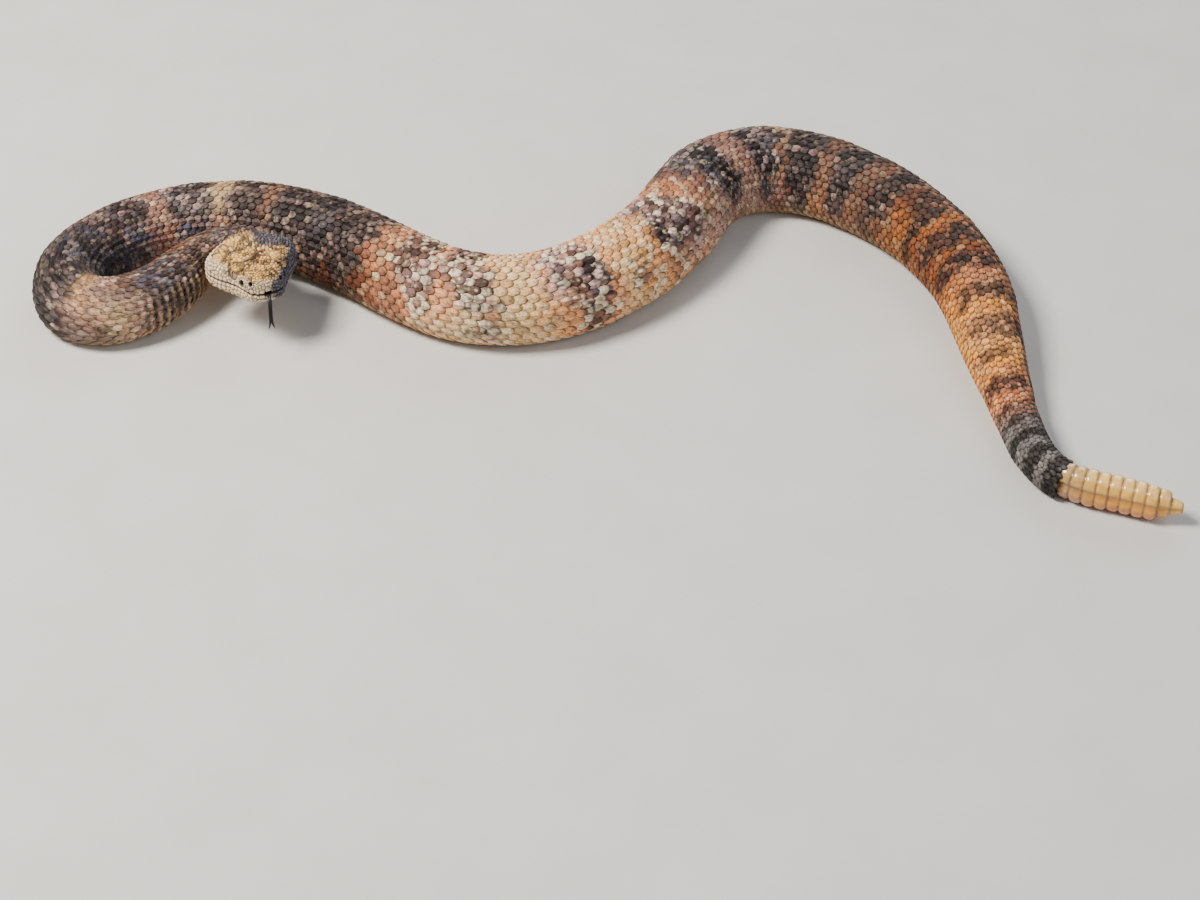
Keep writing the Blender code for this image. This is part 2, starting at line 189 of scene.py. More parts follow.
def zone(value: Array, low: float, full: float, ebb: float, gone: float) -> Array:
    """Rise from 0 at `low` to 1 at `full`, and fall again from `ebb` to `gone`."""
    return smoothstep(low, full, value) * (1 - smoothstep(ebb, gone, value))


def hump(value: Array, width: float) -> Array:
    """Fall off evenly on both sides from 1 where the value is 0."""
    return np.exp(-((value / width) ** 2))


def unit(vectors: Array) -> Array:
    """Scale vectors to a length of 1."""
    return vectors / np.maximum(np.linalg.norm(vectors, axis=-1, keepdims=True), 1e-9)


def level_way(angle: float) -> Array:
    """Unit vector along the floor at an angle in radians."""
    return np.array([math.cos(angle), math.sin(angle), 0.0])


def blend(first: Array | Tone, second: Array | Tone, share: Array) -> Array:
    """Mix named colours or rows of colours by a share for each row."""
    first, second = (tone.light if isinstance(tone, Tone) else tone for tone in (first, second))
    share = np.asarray(share, float)[..., None]
    return first * (1 - share) + second * share


def soften(tone: Array) -> Array:
    """Hold colours under full white without a change of hue."""
    return tone / np.maximum(1.0, tone.max(axis=-1, keepdims=True) / BRIGHTEST)


class Cloud:
    """Smooth repeatable noise between 0 and 1 in three dimensions."""

    def __init__(self, seed: int) -> None:
        """Draw the lattice of values."""
        self.values = np.random.default_rng(seed).random((32, 32, 32))

    def __call__(self, x: Array, y: Array, z: Array = 0.0) -> Array:
        """Read the noise.

        Args:
            x: first coordinate, in lattice steps.
            y: second coordinate, in lattice steps.
            z: third coordinate, in lattice steps.

        Returns:
            Noise of the same shape as the coordinates.
        """
        spots = np.broadcast_arrays(*(np.asarray(c, float) for c in (x, y, z)))
        cells = [np.floor(c).astype(int) for c in spots]
        parts = [c - cell for c, cell in zip(spots, cells)]
        parts = [p * p * (3 - 2 * p) for p in parts]
        total = np.zeros(spots[0].shape)
        for corner in range(8):
            steps = [(corner >> axis) & 1 for axis in range(3)]
            weight = np.ones(spots[0].shape)
            for part, step in zip(parts, steps):
                weight = weight * (part if step else 1 - part)
            index = tuple((cell + step) % 32 for cell, step in zip(cells, steps))
            total += weight * self.values[index]
        return total


def look_up(table: tuple, where: Array) -> Array:
    """Read a table of (place, value) rows, straight from one row to the next."""
    places, values = zip(*table)
    return np.interp(where, places, values)


def read_table(table: tuple, distance: Array) -> Array:
    """Read a table of (distance, value) rows, with its corners eased.

    Args:
        table: rows of distance and value.
        distance: where to read it.

    Returns:
        The values there.
    """
    distance = np.asarray(distance, float)
    reach = np.minimum(distance - table[0][0], table[-1][0] - distance) / TABLE_BLEND
    reach = np.clip(reach, 0.0, 1.0)
    samples = distance[..., None] + reach[..., None] * np.linspace(-TABLE_BLEND, TABLE_BLEND, 9)
    return look_up(table, samples).mean(axis=-1)


def build_route() -> Array:
    """Follow the bends and return rows of x, y and heading at every millimetre.

    Returns:
        Rows of x, y and heading in radians.
    """
    edges = np.cumsum([0] + [length for length, turn in BENDS])
    distance = np.arange(0.0, edges[-1] + 0.5, 1.0)
    bend = np.clip(np.searchsorted(edges, distance, side="right") - 1, 0, len(BENDS) - 1)
    rates = np.array([turn / length for length, turn in BENDS])[bend]
    window = np.ones(BEND_BLEND + 1) / (BEND_BLEND + 1)
    for _ in range(2):
        rates = np.convolve(np.pad(rates, BEND_BLEND // 2, mode="edge"), window, mode="valid")
    steps = 0.5 * (rates[1:] + rates[:-1])
    heading = np.radians(ROUTE_HEADING + np.concatenate(([0.0], np.cumsum(steps))))
    middle = 0.5 * (heading[1:] + heading[:-1])
    x = ROUTE_START[0] + np.concatenate(([0.0], np.cumsum(np.cos(middle))))
    y = ROUTE_START[1] + np.concatenate(([0.0], np.cumsum(np.sin(middle))))
    return np.stack([x, y, heading], axis=1)


ROUTE = build_route()
HEAD_YAW = math.radians(ROUTE_HEADING + 180)
FORWARD = level_way(HEAD_YAW)
LEFT = np.array([-FORWARD[1], FORWARD[0], 0.0])
PITCH_SLOPE = math.tan(math.radians(HEAD_PITCH))


def route_at(distance: Array) -> tuple:
    """Give the places on the route, three columns, and the headings there."""
    marks = np.arange(len(ROUTE))
    x, y, heading = (np.interp(distance, marks, ROUTE[:, i]) for i in range(3))
    return np.stack([x, y, np.zeros_like(x)], axis=-1), heading


def head_point(back: Array, left: Array, up: Array) -> Array:
    """Turn places on the head into floor coordinates.

    Args:
        back: way back from the snout.
        left: way to the animal's left.
        up: way up from the mouth's level.

    Returns:
        Floor coordinates.
    """
    back, left, up = np.broadcast_arrays(*(np.asarray(c, float) for c in (back, left, up)))
    start = np.array([*ROUTE_START, 0.0])
    spot = start + FORWARD * (HEAD_LENGTH - back)[..., None] + LEFT * left[..., None]
    spot[..., 2] = MOUTH_Z - back * PITCH_SLOPE + up
    return spot


def head_place(spots: Array) -> tuple:
    """Turn floor coordinates into back, left and up on the head."""
    offset = spots - np.array([*ROUTE_START, 0.0])
    back = HEAD_LENGTH - offset @ FORWARD
    return back, offset @ LEFT, spots[..., 2] - (MOUTH_Z - back * PITCH_SLOPE)


def mouth_wave(back: Array) -> Array:
    """Rise and fall of the line of the mouth from its level."""
    return MOUTH_WAVE * np.sin(2 * np.pi * np.asarray(back, float) / MOUTH_CORNER)


def head_shape(back: Array) -> list:
    """Width, reach above and below the mouth, and roundness of both halves.

    Args:
        back: way back from the snout.

    Returns:
        The five values, as one list.
    """
    table = np.array(HEAD_STATIONS)
    shape = [np.interp(back, table[:, 0], table[:, i]) for i in (1, 2, 3)]
    nape = np.clip((back - NAPE_STARTS) / (HEAD_LENGTH - NAPE_STARTS), 0.0, 1.0)
    shape.append(CROWN_ROUNDNESS + (BACK_ROUNDNESS - CROWN_ROUNDNESS) * nape)
    shape.append(JAW_ROUNDNESS + (BELLY_ROUNDNESS - JAW_ROUNDNESS) * nape)
    return shape


def head_side(back: float, up: float) -> float:
    """Half width of the head at a height over the mouth."""
    width, above, below, top, bottom = head_shape(back)
    return float(0.5 * width * (1 - (up / above) ** top) ** (1 / top))


@dataclass(frozen=True)
class Hole:
    """An eye socket, pit or nostril on the side of the head, with what lies round it."""

    back: float
    up: float
    radius: float
    depth: float
    slope: tuple
    rim: tuple
    shade: tuple
    plate_ring: tuple
    keep_off: float
    open_within: float

    def gap(self, spots: Array) -> Array:
        """Distances to the hole, on either side of the head."""
        back, left, up = head_place(spots)
        across = np.abs(left) - head_side(self.back, self.up)
        return np.sqrt((back - self.back) ** 2 + (up - self.up) ** 2 + across**2)

    def push(self, gap: Array) -> Array:
        """How far the surface is raised by the hole's rim, less how far it is sunk."""
        height, where, width = self.rim
        return height * hump(gap - where, width) - self.depth * (1 - smoothstep(*self.slope, gap))


# Distances from the middle of each hole: `slope` from its floor to its edge, `rim` as
# height, distance and width, and `plate_ring` as radius, count and radius of a plate
EYE_SOCKET = Hole(
    back=EYE_BACK, up=EYE_UP, radius=EYE_RADIUS - 0.1, depth=0.75, slope=(1.5, 2.9),
    rim=(0.3, 3.3, 0.6), shade=(1.7, 2.3), plate_ring=(2.7, 15, 0.6), keep_off=3.2,
    open_within=2.3,
)
PIT = Hole(
    back=5.8, up=2.7, radius=1.17, depth=2.2, slope=(0.45, 1.1), rim=(0.22, 1.6, 0.4),
    shade=(0.75, 1.15), plate_ring=(1.55, 9, 0.52), keep_off=1.95, open_within=1.3,
)
NOSTRIL = Hole(
    back=2.3, up=3.9, radius=0.7, depth=1.5, slope=(0.2, 0.75), rim=(0.16, 1.1, 0.4),
    shade=(0.45, 0.8), plate_ring=(1.25, 6, 0.6), keep_off=1.6, open_within=1.0,
)
HOLES = (EYE_SOCKET, PIT, NOSTRIL)


def near_holes(spots: Array, reach: str) -> Array:
    """Whether places are nearer to a hole than its own `reach`, a field's name."""
    return np.any([hole.gap(spots) < getattr(hole, reach) for hole in HOLES], axis=0)


def on_brow(back: Array, side: Array, up: Array, trim: float) -> Array:
    """Whether places on the head are under a brow, less a `trim` of its size.

    Args:
        back: way back from the snout.
        side: way out from the middle.
        up: way up from the mouth's level.
        trim: how much smaller to take it.

    Returns:
        True under the brow.
    """
    turn = math.radians(BROW_TURN)
    ahead, out = back - BROW_BACK, side - BROW_SPREAD
    long = (ahead * math.cos(turn) - out * math.sin(turn)) / (BROW_SIZE[0] - trim)
    wide = (ahead * math.sin(turn) + out * math.cos(turn)) / (BROW_SIZE[1] - trim)
    return (long**2 + wide**2 < 1) & (up > 3)


def curl(value: Array, roundness: Array) -> Array:
    """Raise a sine or cosine to the power that a superellipse needs."""
    return np.sign(value) * np.abs(value) ** (2 / roundness)


def fold_at(t: Array, v: Array) -> tuple:
    """Strength of the neck's folds, and their wave from ridge (0) to crease (1)."""
    strength = zone(t, 24, 31, 46, 56) * zone(v, -0.44, -0.34, -0.19, -0.06)
    return strength, 0.5 + 0.5 * np.cos(2 * np.pi * t / FOLD_PITCH + 14 * v)


class Surface:
    """The surface of the solids as one fine grid, from the snout to the tail."""

    COLUMNS = 320
    HEAD_STEP = 0.25
    BODY_STEP = 0.5
    CAP_SIZES = (0.06, 0.14, 0.24, 0.36, 0.48, 0.6, 0.72, 0.82, 0.9, 0.96)
    CAP_DEPTH = 0.2

    def __init__(self) -> None:
        """Lay out the rings, shape the head and work out the normals."""
        caps = np.array(self.CAP_SIZES)
        cap_marks = -HEAD_LENGTH - self.CAP_DEPTH * (1 - caps**2)
        head_marks = np.arange(-HEAD_LENGTH, 0.0, self.HEAD_STEP)
        body_marks = np.arange(0.0, TAIL_END + 0.25, self.BODY_STEP)
        self.marks = np.concatenate([cap_marks, head_marks, body_marks])
        sizes = np.concatenate([caps, np.ones(len(head_marks) + len(body_marks))])
        self.spots = self.lay_rings(sizes)
        self.normals = self.find_normals()
        self.spots = self.spots + self.normals * self.relief()[..., None]
        self.spots[..., 2] = np.maximum(self.spots[..., 2], 0.0)
        self.normals = self.find_normals()
        self.stretch = np.linalg.norm(np.gradient(self.spots, self.marks, axis=0), axis=2)

    def lay_rings(self, sizes: Array) -> Array:
        """Place every ring, evenly divided along its girth.

        Args:
            sizes: the size of each ring, under 1 only on the cap of the snout.

        Returns:
            Rings by columns by three coordinates.
        """
        on_head = self.marks < 0
        back = HEAD_LENGTH + self.marks
        distance = np.maximum(self.marks, 0.0)
        width, above, below, top, bottom = head_shape(np.maximum(back, 0.0))
        body_width = read_table(WIDTHS, distance)
        height = read_table(HEIGHTS, distance) * body_width
        level = WIDEST_AT * height
        width = np.where(on_head, width, body_width)
        above = np.where(on_head, above, height - level)
        below = np.where(on_head, below, level + BELLY_SINK * height)
        top = np.where(on_head, top, BACK_ROUNDNESS)
        bottom = np.where(on_head, bottom, BELLY_ROUNDNESS)
        turn = np.linspace(-np.pi, np.pi, 721)
        high = np.abs(turn) <= np.pi / 2
        round_by = np.where(high, top[:, None], bottom[:, None])
        reach = np.where(high, above[:, None], below[:, None])
        across = 0.5 * width[:, None] * curl(np.sin(turn), round_by) * sizes[:, None]
        up = reach * curl(np.cos(turn), round_by)
        middle = 0.5 * (above - below)[:, None]
        up = middle + (up - middle) * sizes[:, None]
        floor_up = np.maximum(level[:, None] + up, 0.0) + read_table(LIFTS, distance)[:, None]
        head_up = (MOUTH_Z - back * PITCH_SLOPE)[:, None] + up
        rise = np.where(on_head[:, None], head_up, floor_up)
        step = np.hypot(np.diff(across, axis=1), np.diff(rise, axis=1))
        length = np.concatenate([np.zeros((len(step), 1)), np.cumsum(step, axis=1)], axis=1)
        self.girths = length[:, -1]
        place, heading = route_at(distance)
        place = place - np.where(on_head, self.marks, 0.0)[:, None] * FORWARD
        heading = np.where(on_head, math.radians(ROUTE_HEADING), heading)
        right = np.stack([np.sin(heading), -np.cos(heading), np.zeros_like(heading)], axis=-1)
        spots = np.empty((len(self.marks), self.COLUMNS, 3))
        shares = np.arange(self.COLUMNS) / self.COLUMNS
        for i in range(len(self.marks)):
            wanted = shares * length[i, -1]
            side = np.interp(wanted, length[i], across[i])
            spots[i] = place[i] + right[i] * side[:, None]
            spots[i, :, 2] = np.interp(wanted, length[i], rise[i])
        return spots

    def find_normals(self) -> Array:
        """Unit normals of the grid, pointing out of the body."""
        along = np.gradient(self.spots, self.marks, axis=0)
        around = np.roll(self.spots, -1, axis=1) - np.roll(self.spots, 1, axis=1)
        return unit(np.cross(around, along))

    def relief(self) -> Array:
        """How far each place stands out of the plain sections, or is sunk in them.

        Returns:
            The heights, which also leave `hollow_shade` with the painted shade of the holes, the
            mouth and the slot at the snout.
        """
        back, left, up = head_place(self.spots)
        side = np.abs(left)
        push, dark = np.zeros(back.shape), np.zeros(back.shape)
        for hole in HOLES:
            gap = hole.gap(self.spots)
            push += hole.push(gap)
            dark = np.maximum(dark, 1 - smoothstep(*hole.shade, gap))
        ridge = np.interp(back, (1.0, 4.0, 9.0, 15.0), (2.6, 4.2, 6.2, 8.6))
        push += 0.45 * zone(back, 1.0, 4.0, 13.0, 17.0) * hump(side - ridge, 1.2) * (up > 3)
        push -= 0.7 * zone(back, 6.0, 10.0, 15.0, 21.0) * hump(side, 3.0) * (up > 3)
        mouth = hump(up - mouth_wave(back), 0.24) * (back < MOUTH_CORNER)
        push -= 0.55 * mouth
        slot = (1 - smoothstep(0.5, 1.25, side)) * (1 - smoothstep(0.4, 0.95, np.abs(up)))
        slot = slot * (back < 3.0)
        push -= 2.2 * slot
        dark = np.maximum(dark, np.maximum(0.95 * mouth, slot > 0.1))
        marks = self.marks[:, None]
        self.hollow_shade = np.where(marks < 2.0, dark, 0.0)
        push = np.where(marks < 2.0, push, 0.0)
        share = (np.arange(self.COLUMNS) / self.COLUMNS - 0.5)[None, :]
        fold, wave = fold_at(marks, share)
        push -= 0.5 * fold * wave**2
        lumps = Cloud(SEED + 1)(marks / 9.0, share * 14.0)
        return push + 0.5 * (lumps - 0.5) * smoothstep(4, 20, marks)

    def index(self, t: Array, v: Array) -> tuple:
        """Rows and columns, with fractions, of places on the grid.

        Args:
            t: distances along the route.
            v: shares of the girth from mid-back.

        Returns:
            Rows, columns, and fractions along and across.
        """
        row = np.interp(t, self.marks, np.arange(len(self.marks)))
        column = ((np.asarray(v, float) + 0.5) % 1.0) * self.COLUMNS
        low_row = np.minimum(row.astype(int), len(self.marks) - 2)
        low_column = column.astype(int) % self.COLUMNS
        return low_row, low_column, row - low_row, column - np.floor(column)

    def read(self, grid: Array, t: Array, v: Array) -> Array:
        """Interpolate a grid of values at places on the surface.

        Args:
            grid: values, or vectors, for each point of the grid.
            t: distances along the route.
            v: shares of the girth from mid-back.

        Returns:
            The values at the places.
        """
        row, column, part, share = self.index(t, v)
        after = (column + 1) % self.COLUMNS
        if grid.ndim == 3:
            part, share = part[..., None], share[..., None]
        near = grid[row, column] * (1 - share) + grid[row, after] * share
        far = grid[row + 1, column] * (1 - share) + grid[row + 1, after] * share
        return near * (1 - part) + far * part

    def at(self, t: Array, v: Array) -> tuple:
        """Give the places and unit normals for arrays of `t` and `v`."""
        t, v = np.broadcast_arrays(np.asarray(t, float), np.asarray(v, float))
        return self.read(self.spots, t, v), unit(self.read(self.normals, t, v))

    def girth(self, t: Array) -> Array:
        """Girth of the body at distances along it."""
        return np.interp(t, self.marks, self.girths)


@dataclass(frozen=True)
class Blotch:
    """One dark patch: where it is along and across, how dark and how blue-grey."""

    at: float
    half: float
    dark: float
    cool: float
    middle: float = 0.05
    reach: float = 0.22


@dataclass
class BodyPlaces:
    """Places on the body, with the stretches and the noise that their colours share."""

    t: Array
    v: Array
    luck: Array
    shift: Array
    bright: Array
    rear: Array
    tail: Array
    speck: Array
    other: Array


class Markings:
    """Colours of the animal, worked out from the place on its surface."""

    BACK = (
        (-2, Tone.TAUPE), (14, Tone.TAUPE), (20, Tone.CLAY), (33, Tone.TAUPE), (46, Tone.MAUVE),
        (53, Tone.TAUPE), (60, Tone.ROSE), (67, Tone.APRICOT), (73, Tone.PLUM),
        (100, Tone.MAUVE), (112, Tone.CLAY), (124, Tone.MAUVE), (131, Tone.PINK),
        (140, Tone.TAUPE), (155, Tone.CREAM), (163, Tone.TAUPE), (174, Tone.CLAY),
        (182, Tone.BARK), (204, Tone.PLUM), (218, Tone.TAUPE), (229, Tone.SALMON),
        (250, Tone.SALMON), (264, Tone.APRICOT), (278, Tone.CREAM), (288, Tone.SALMON),
        (306, Tone.APRICOT), (318, Tone.APRICOT), (334, Tone.CLAY), (352, Tone.SALMON),
        (362, Tone.PLUM), (379, Tone.MAUVE), (389, Tone.PINK), (398, Tone.PLUM),
        (412, Tone.CLAY), (420, Tone.PLUM), (431, Tone.CLAY), (441, Tone.TAUPE),
        (452, Tone.CLAY), (461, Tone.BARK), (472, Tone.RUST), (484, Tone.BARK),
        (490, Tone.ORANGE), (508, Tone.RUST), (518, Tone.SALMON), (534, Tone.AMBER),
        (546, Tone.APRICOT), (558, Tone.AMBER), (571, Tone.RUST), (580, Tone.SALMON),
        (587, Tone.MAUVE), (595, Tone.ASH), (613, Tone.ASH),
    )
    # The blue-grey of the left side from 80 to 120, and the umber of the right side from 80 to 98
    # and from 430 to 470, are partly pigment and partly painted shade.
    LEFT_SIDE = (
        (-2, Tone.MAUVE), (50, Tone.CLAY), (66, Tone.PLUM), (80, Tone.STORM), (120, Tone.STORM),
        (131, Tone.PINK), (146, Tone.SLATE), (158, Tone.PINK), (174, Tone.MAUVE),
        (190, Tone.BARK), (204, Tone.RUST), (217, Tone.BARK), (227, Tone.RUST),
        (236, Tone.CLAY), (247, Tone.SALMON), (262, Tone.CREAM), (279, Tone.CREAM),
        (289, Tone.APRICOT), (303, Tone.SALMON), (312, Tone.CREAM), (322, Tone.APRICOT),
        (332, Tone.CLAY), (347, Tone.ROSE), (362, Tone.ROSE), (378, Tone.PINK),
        (390, Tone.ROSE), (412, Tone.PINK), (424, Tone.TAUPE), (433, Tone.SALMON),
        (452, Tone.CLAY), (462, Tone.TAUPE), (474, Tone.ORANGE), (500, Tone.RUST),
        (518, Tone.ORANGE), (534, Tone.AMBER), (552, Tone.AMBER), (574, Tone.ORANGE),
        (587, Tone.ASH), (613, Tone.ASH),
    )
    RIGHT_SIDE = (
        (-2, Tone.MAUVE), (20, Tone.CLAY), (30, Tone.TAUPE), (42, Tone.MAUVE), (52, Tone.ROSE),
        (58, Tone.CREAM), (65, Tone.ROSE), (73, Tone.BARK), (80, Tone.UMBER), (98, Tone.UMBER),
        (110, Tone.SALMON), (124, Tone.TAUPE), (131, Tone.PINK), (143, Tone.BARK),
        (155, Tone.APRICOT), (166, Tone.TAUPE), (176, Tone.CLAY), (188, Tone.BARK),
        (222, Tone.BARK), (234, Tone.SALMON), (252, Tone.TAUPE), (262, Tone.SALMON),
        (330, Tone.SALMON), (354, Tone.CLAY), (368, Tone.PLUM), (404, Tone.PLUM),
        (414, Tone.CLAY), (430, Tone.UMBER), (470, Tone.UMBER), (500, Tone.BARK),
        (516, Tone.CLAY), (528, Tone.PLUM), (536, Tone.CLAY), (552, Tone.TAUPE),
        (562, Tone.CLAY), (572, Tone.OXBLOOD), (582, Tone.TAUPE), (590, Tone.UMBER),
        (613, Tone.UMBER),
    )
    BLOTCHES = (
        Blotch(6, 9, 0.55, 0.5, 0.0, 0.3), Blotch(23, 6, 0.7, 0.1, -0.07, 0.1),
        Blotch(37, 9, 0.6, 0.8, -0.08, 0.15), Blotch(62, 6, 0.3, 0.6, -0.3, 0.08),
        Blotch(76, 8, 0.85, 0.3, -0.17, 0.25), Blotch(92, 8, 0.85, 0.8, 0.04, 0.12),
        Blotch(101, 21, 0.5, 1.0, 0.14, 0.18), Blotch(117, 9, 0.85, 0.4, 0.02, 0.1),
        Blotch(143, 8, 0.95, 0.4, 0.02, 0.13), Blotch(147, 8, 0.5, 1.0, 0.15, 0.12),
        Blotch(166, 7, 0.85, 0.15, 0.02, 0.22), Blotch(187, 8, 0.95, 0.2, 0.04, 0.26),
        Blotch(200, 6, 0.85, 0.4, 0.05, 0.2), Blotch(214, 9, 0.95, 0.1, 0.05, 0.2),
        Blotch(241, 6, 0.75, 0.2, 0.0, 0.13), Blotch(247, 5, 0.6, 0.6, 0.12, 0.08),
        Blotch(258, 7, 0.8, 0.2, -0.03, 0.13), Blotch(265, 6, 0.75, 0.5, 0.11, 0.09),
        Blotch(295, 10, 0.55, 1.0, 0.06, 0.13), Blotch(300, 5, 1.0, 0.4, 0.11, 0.08),
        Blotch(250, 4, 0.65, 0.1, 0.22, 0.05), Blotch(268, 4, 0.7, 0.1, 0.27, 0.06),
        Blotch(297, 5, 0.75, 0.1, 0.25, 0.07), Blotch(316, 3.5, 0.6, 0.2, 0.2, 0.05),
        Blotch(290, 3.5, 0.9, 0.5, 0.08, 0.06), Blotch(337, 8, 0.6, 1.0, 0.03, 0.13),
        Blotch(331, 4, 0.95, 0.5, 0.11, 0.07), Blotch(344, 6, 0.55, 0.8, 0.12, 0.1),
        Blotch(374, 8.5, 1.0, 0.5, 0.06, 0.17), Blotch(401, 7, 1.05, 0.5, 0.06, 0.18),
        Blotch(421, 6.5, 1.05, 0.2, 0.05, 0.24), Blotch(441, 6, 1.05, 0.2, 0.05, 0.25),
        Blotch(461, 5.4, 1.0, 0.0, 0.0, 0.24), Blotch(476, 5, 0.8, 0.0, -0.1, 0.16),
        Blotch(483, 2.6, 0.85, 0.0, 0.1, 0.2), Blotch(496, 4.8, 0.95, 0.0, 0.0, 0.26),
        Blotch(511, 4.0, 0.85, 0.0, 0.06, 0.2), Blotch(527, 4.4, 0.7, 0.0, -0.02, 0.2),
        Blotch(543, 4.6, 0.75, 0.0, -0.06, 0.22), Blotch(556, 2.6, 0.6, 0.0, 0.08, 0.14),
        Blotch(569, 3.8, 0.85, 0.0, 0.03, 0.25), Blotch(581, 2.4, 0.7, 0.1, 0.0, 0.3),
        Blotch(587, 1.6, 0.6, 0.2, 0.0, 0.5), Blotch(595.5, 1.9, 1.3, 0.1, 0.03, 0.35),
        Blotch(603.8, 2.1, 1.3, 0.1, 0.0, 0.5), Blotch(611.5, 2.2, 1.3, 0.1, 0.0, 0.6),
    )

    # How light each stretch is, from the shade that the pose and the photo have there
    DUSK = (
        (-10, 1.0), (50, 1.0), (72, 0.8), (80, 0.52), (100, 0.52), (118, 0.95), (135, 1.1),
        (165, 0.98), (190, 0.68), (220, 0.72), (232, 1.15), (250, 1.5), (300, 1.65),
        (330, 1.5), (348, 1.15), (366, 1.0), (400, 0.9), (425, 0.7), (500, 0.76), (520, 1.05),
        (545, 1.45), (576, 1.45), (588, 0.8), (614, 0.74),
    )
    BRIGHT = (222, 236, 342, 362)
    REAR = (450, 480, 580, 586)
    TAIL = (583, 590)
    RUSTY = (176, 184, 218, 226)
    SPECKLED = (46, 54, 68, 76)
    SNOWY = (345, 360, 400, 425)
    SHADED_BEND = (70, 78, 98, 110)
    SHADED_TAIL = (584, 592)

    def __init__(self) -> None:
        """Draw the noise that breaks up the edges."""
        self.broad = Cloud(SEED + 2)
        self.fine = Cloud(SEED + 3)
        self.speck = Cloud(SEED + 4)

    @staticmethod
    def along(table: tuple, t: Array) -> Array:
        """Colour along the body from a table of tones."""
        places, tones = zip(*table)
        colours = np.array([tone.light for tone in tones])
        return np.stack([np.interp(t, places, colours[:, i]) for i in range(3)], axis=-1)

    def survey(self, t: Array, v: Array, luck: Array) -> BodyPlaces:
        """Gather what the colours of places on the body share.

        Args:
            t: distances along the route.
            v: shares of the girth from mid-back.
            luck: three random numbers from 0 to 1 for each place.

        Returns:
            The places, with what they share.
        """
        t, v = np.broadcast_arrays(np.asarray(t, float), np.asarray(v, float))
        shift = 7.0 * (self.broad(t / 6.5, v * 16.0, 3.5) - 0.5)
        shift = shift + 7.5 * (self.fine(t / 2.8, v * 32.0, 8.5) - 0.5)
        shift = shift + 3.0 * (luck[..., 0] - 0.5)
        return BodyPlaces(
            t, v, luck, shift, zone(t, *self.BRIGHT), zone(t, *self.REAR),
            smoothstep(*self.TAIL, t), self.speck(t / 1.2, v * 70.0, 0.5),
            self.speck(t / 0.9, v * 92.0, 12.5),
        )

    def ground(self, at: BodyPlaces) -> Array:
        """Colour between the dark patches, before any speckles.

        Args:
            at: the places, with what they share.

        Returns:
            Rows of linear colour.
        """
        side = at.v + 0.012 * at.shift
        back, left, right = (
            self.along(table, at.t + at.shift)
            for table in (self.BACK, self.LEFT_SIDE, self.RIGHT_SIDE)
        )
        tone = blend(back, left, smoothstep(0.08, 0.20, side))
        tone = blend(tone, right, smoothstep(0.06, 0.18, -side))
        low = smoothstep(0.29, 0.36, np.abs(at.v)) * (1 - smoothstep(572, 586, at.t))
        return blend(tone, Tone.CREAM, 0.65 * low)

    def between_patches(self, at: BodyPlaces) -> Array:
        """Colour between the dark patches, with its warm, pale and dull scales.

        Args:
            at: the places, with what they share.

        Returns:
            Rows of linear colour.
        """
        t, v, luck = at.t, at.v, at.luck
        warm = 0.55 * luck[..., 1] + 0.45 * self.fine(t / 3.1, v * 30.0, 5.5)
        warm = smoothstep(0.45, 0.95, warm) * (0.3 + 0.2 * at.rear) * (1 - at.tail)
        tone = blend(self.ground(at), Tone.ORANGE, warm)
        peach = smoothstep(0.5, 0.66, self.broad(t / 6.0, v * 14.0, 11.5)) * at.bright
        tone = blend(tone, Tone.SALMON, 0.6 * peach)
        pale = 0.5 * luck[..., 2] + 0.5 * self.fine(t / 2.6, v * 36.0, 2.5)
        pale = smoothstep(0.5, 0.8, pale) * (0.3 + 0.35 * at.bright) * (1 - 0.8 * at.tail)
        tone = blend(tone, Tone.CREAM, pale)
        dull = 0.5 * luck[..., 0] + 0.5 * self.fine(t / 1.9, v * 52.0, 15.5)
        dull = 0.62 * smoothstep(0.54, 0.76, dull) * (1 - 0.3 * at.bright)
        return blend(tone, Tone.BARK, dull)

    def patches(self, at: BodyPlaces) -> tuple:
        """Cover, darkness and blueness of the dark patches.

        Args:
            at: the places, with what they share.

        Returns:
            The three shares, of the strongest patch at each place.
        """
        mark, dark, cool = (np.zeros(at.t.shape) for _ in range(3))
        for blotch in self.BLOTCHES:
            wander = at.shift * min(0.9, blotch.half / 7)
            gap = np.abs(at.t + wander - blotch.at) / blotch.half
            wide = np.abs(at.v + 0.008 * at.shift - blotch.middle) / blotch.reach
            cover = np.clip(1.3 - (gap**2.4 + wide**2.4) ** (1 / 2.4), 0.0, 1.0)
            stronger = cover * blotch.dark > mark * dark
            mark = np.where(stronger, cover, mark)
            dark = np.where(stronger, blotch.dark, dark)
            cool = np.where(stronger, blotch.cool, cool)
        return mark, np.clip(dark, 0, 1), cool

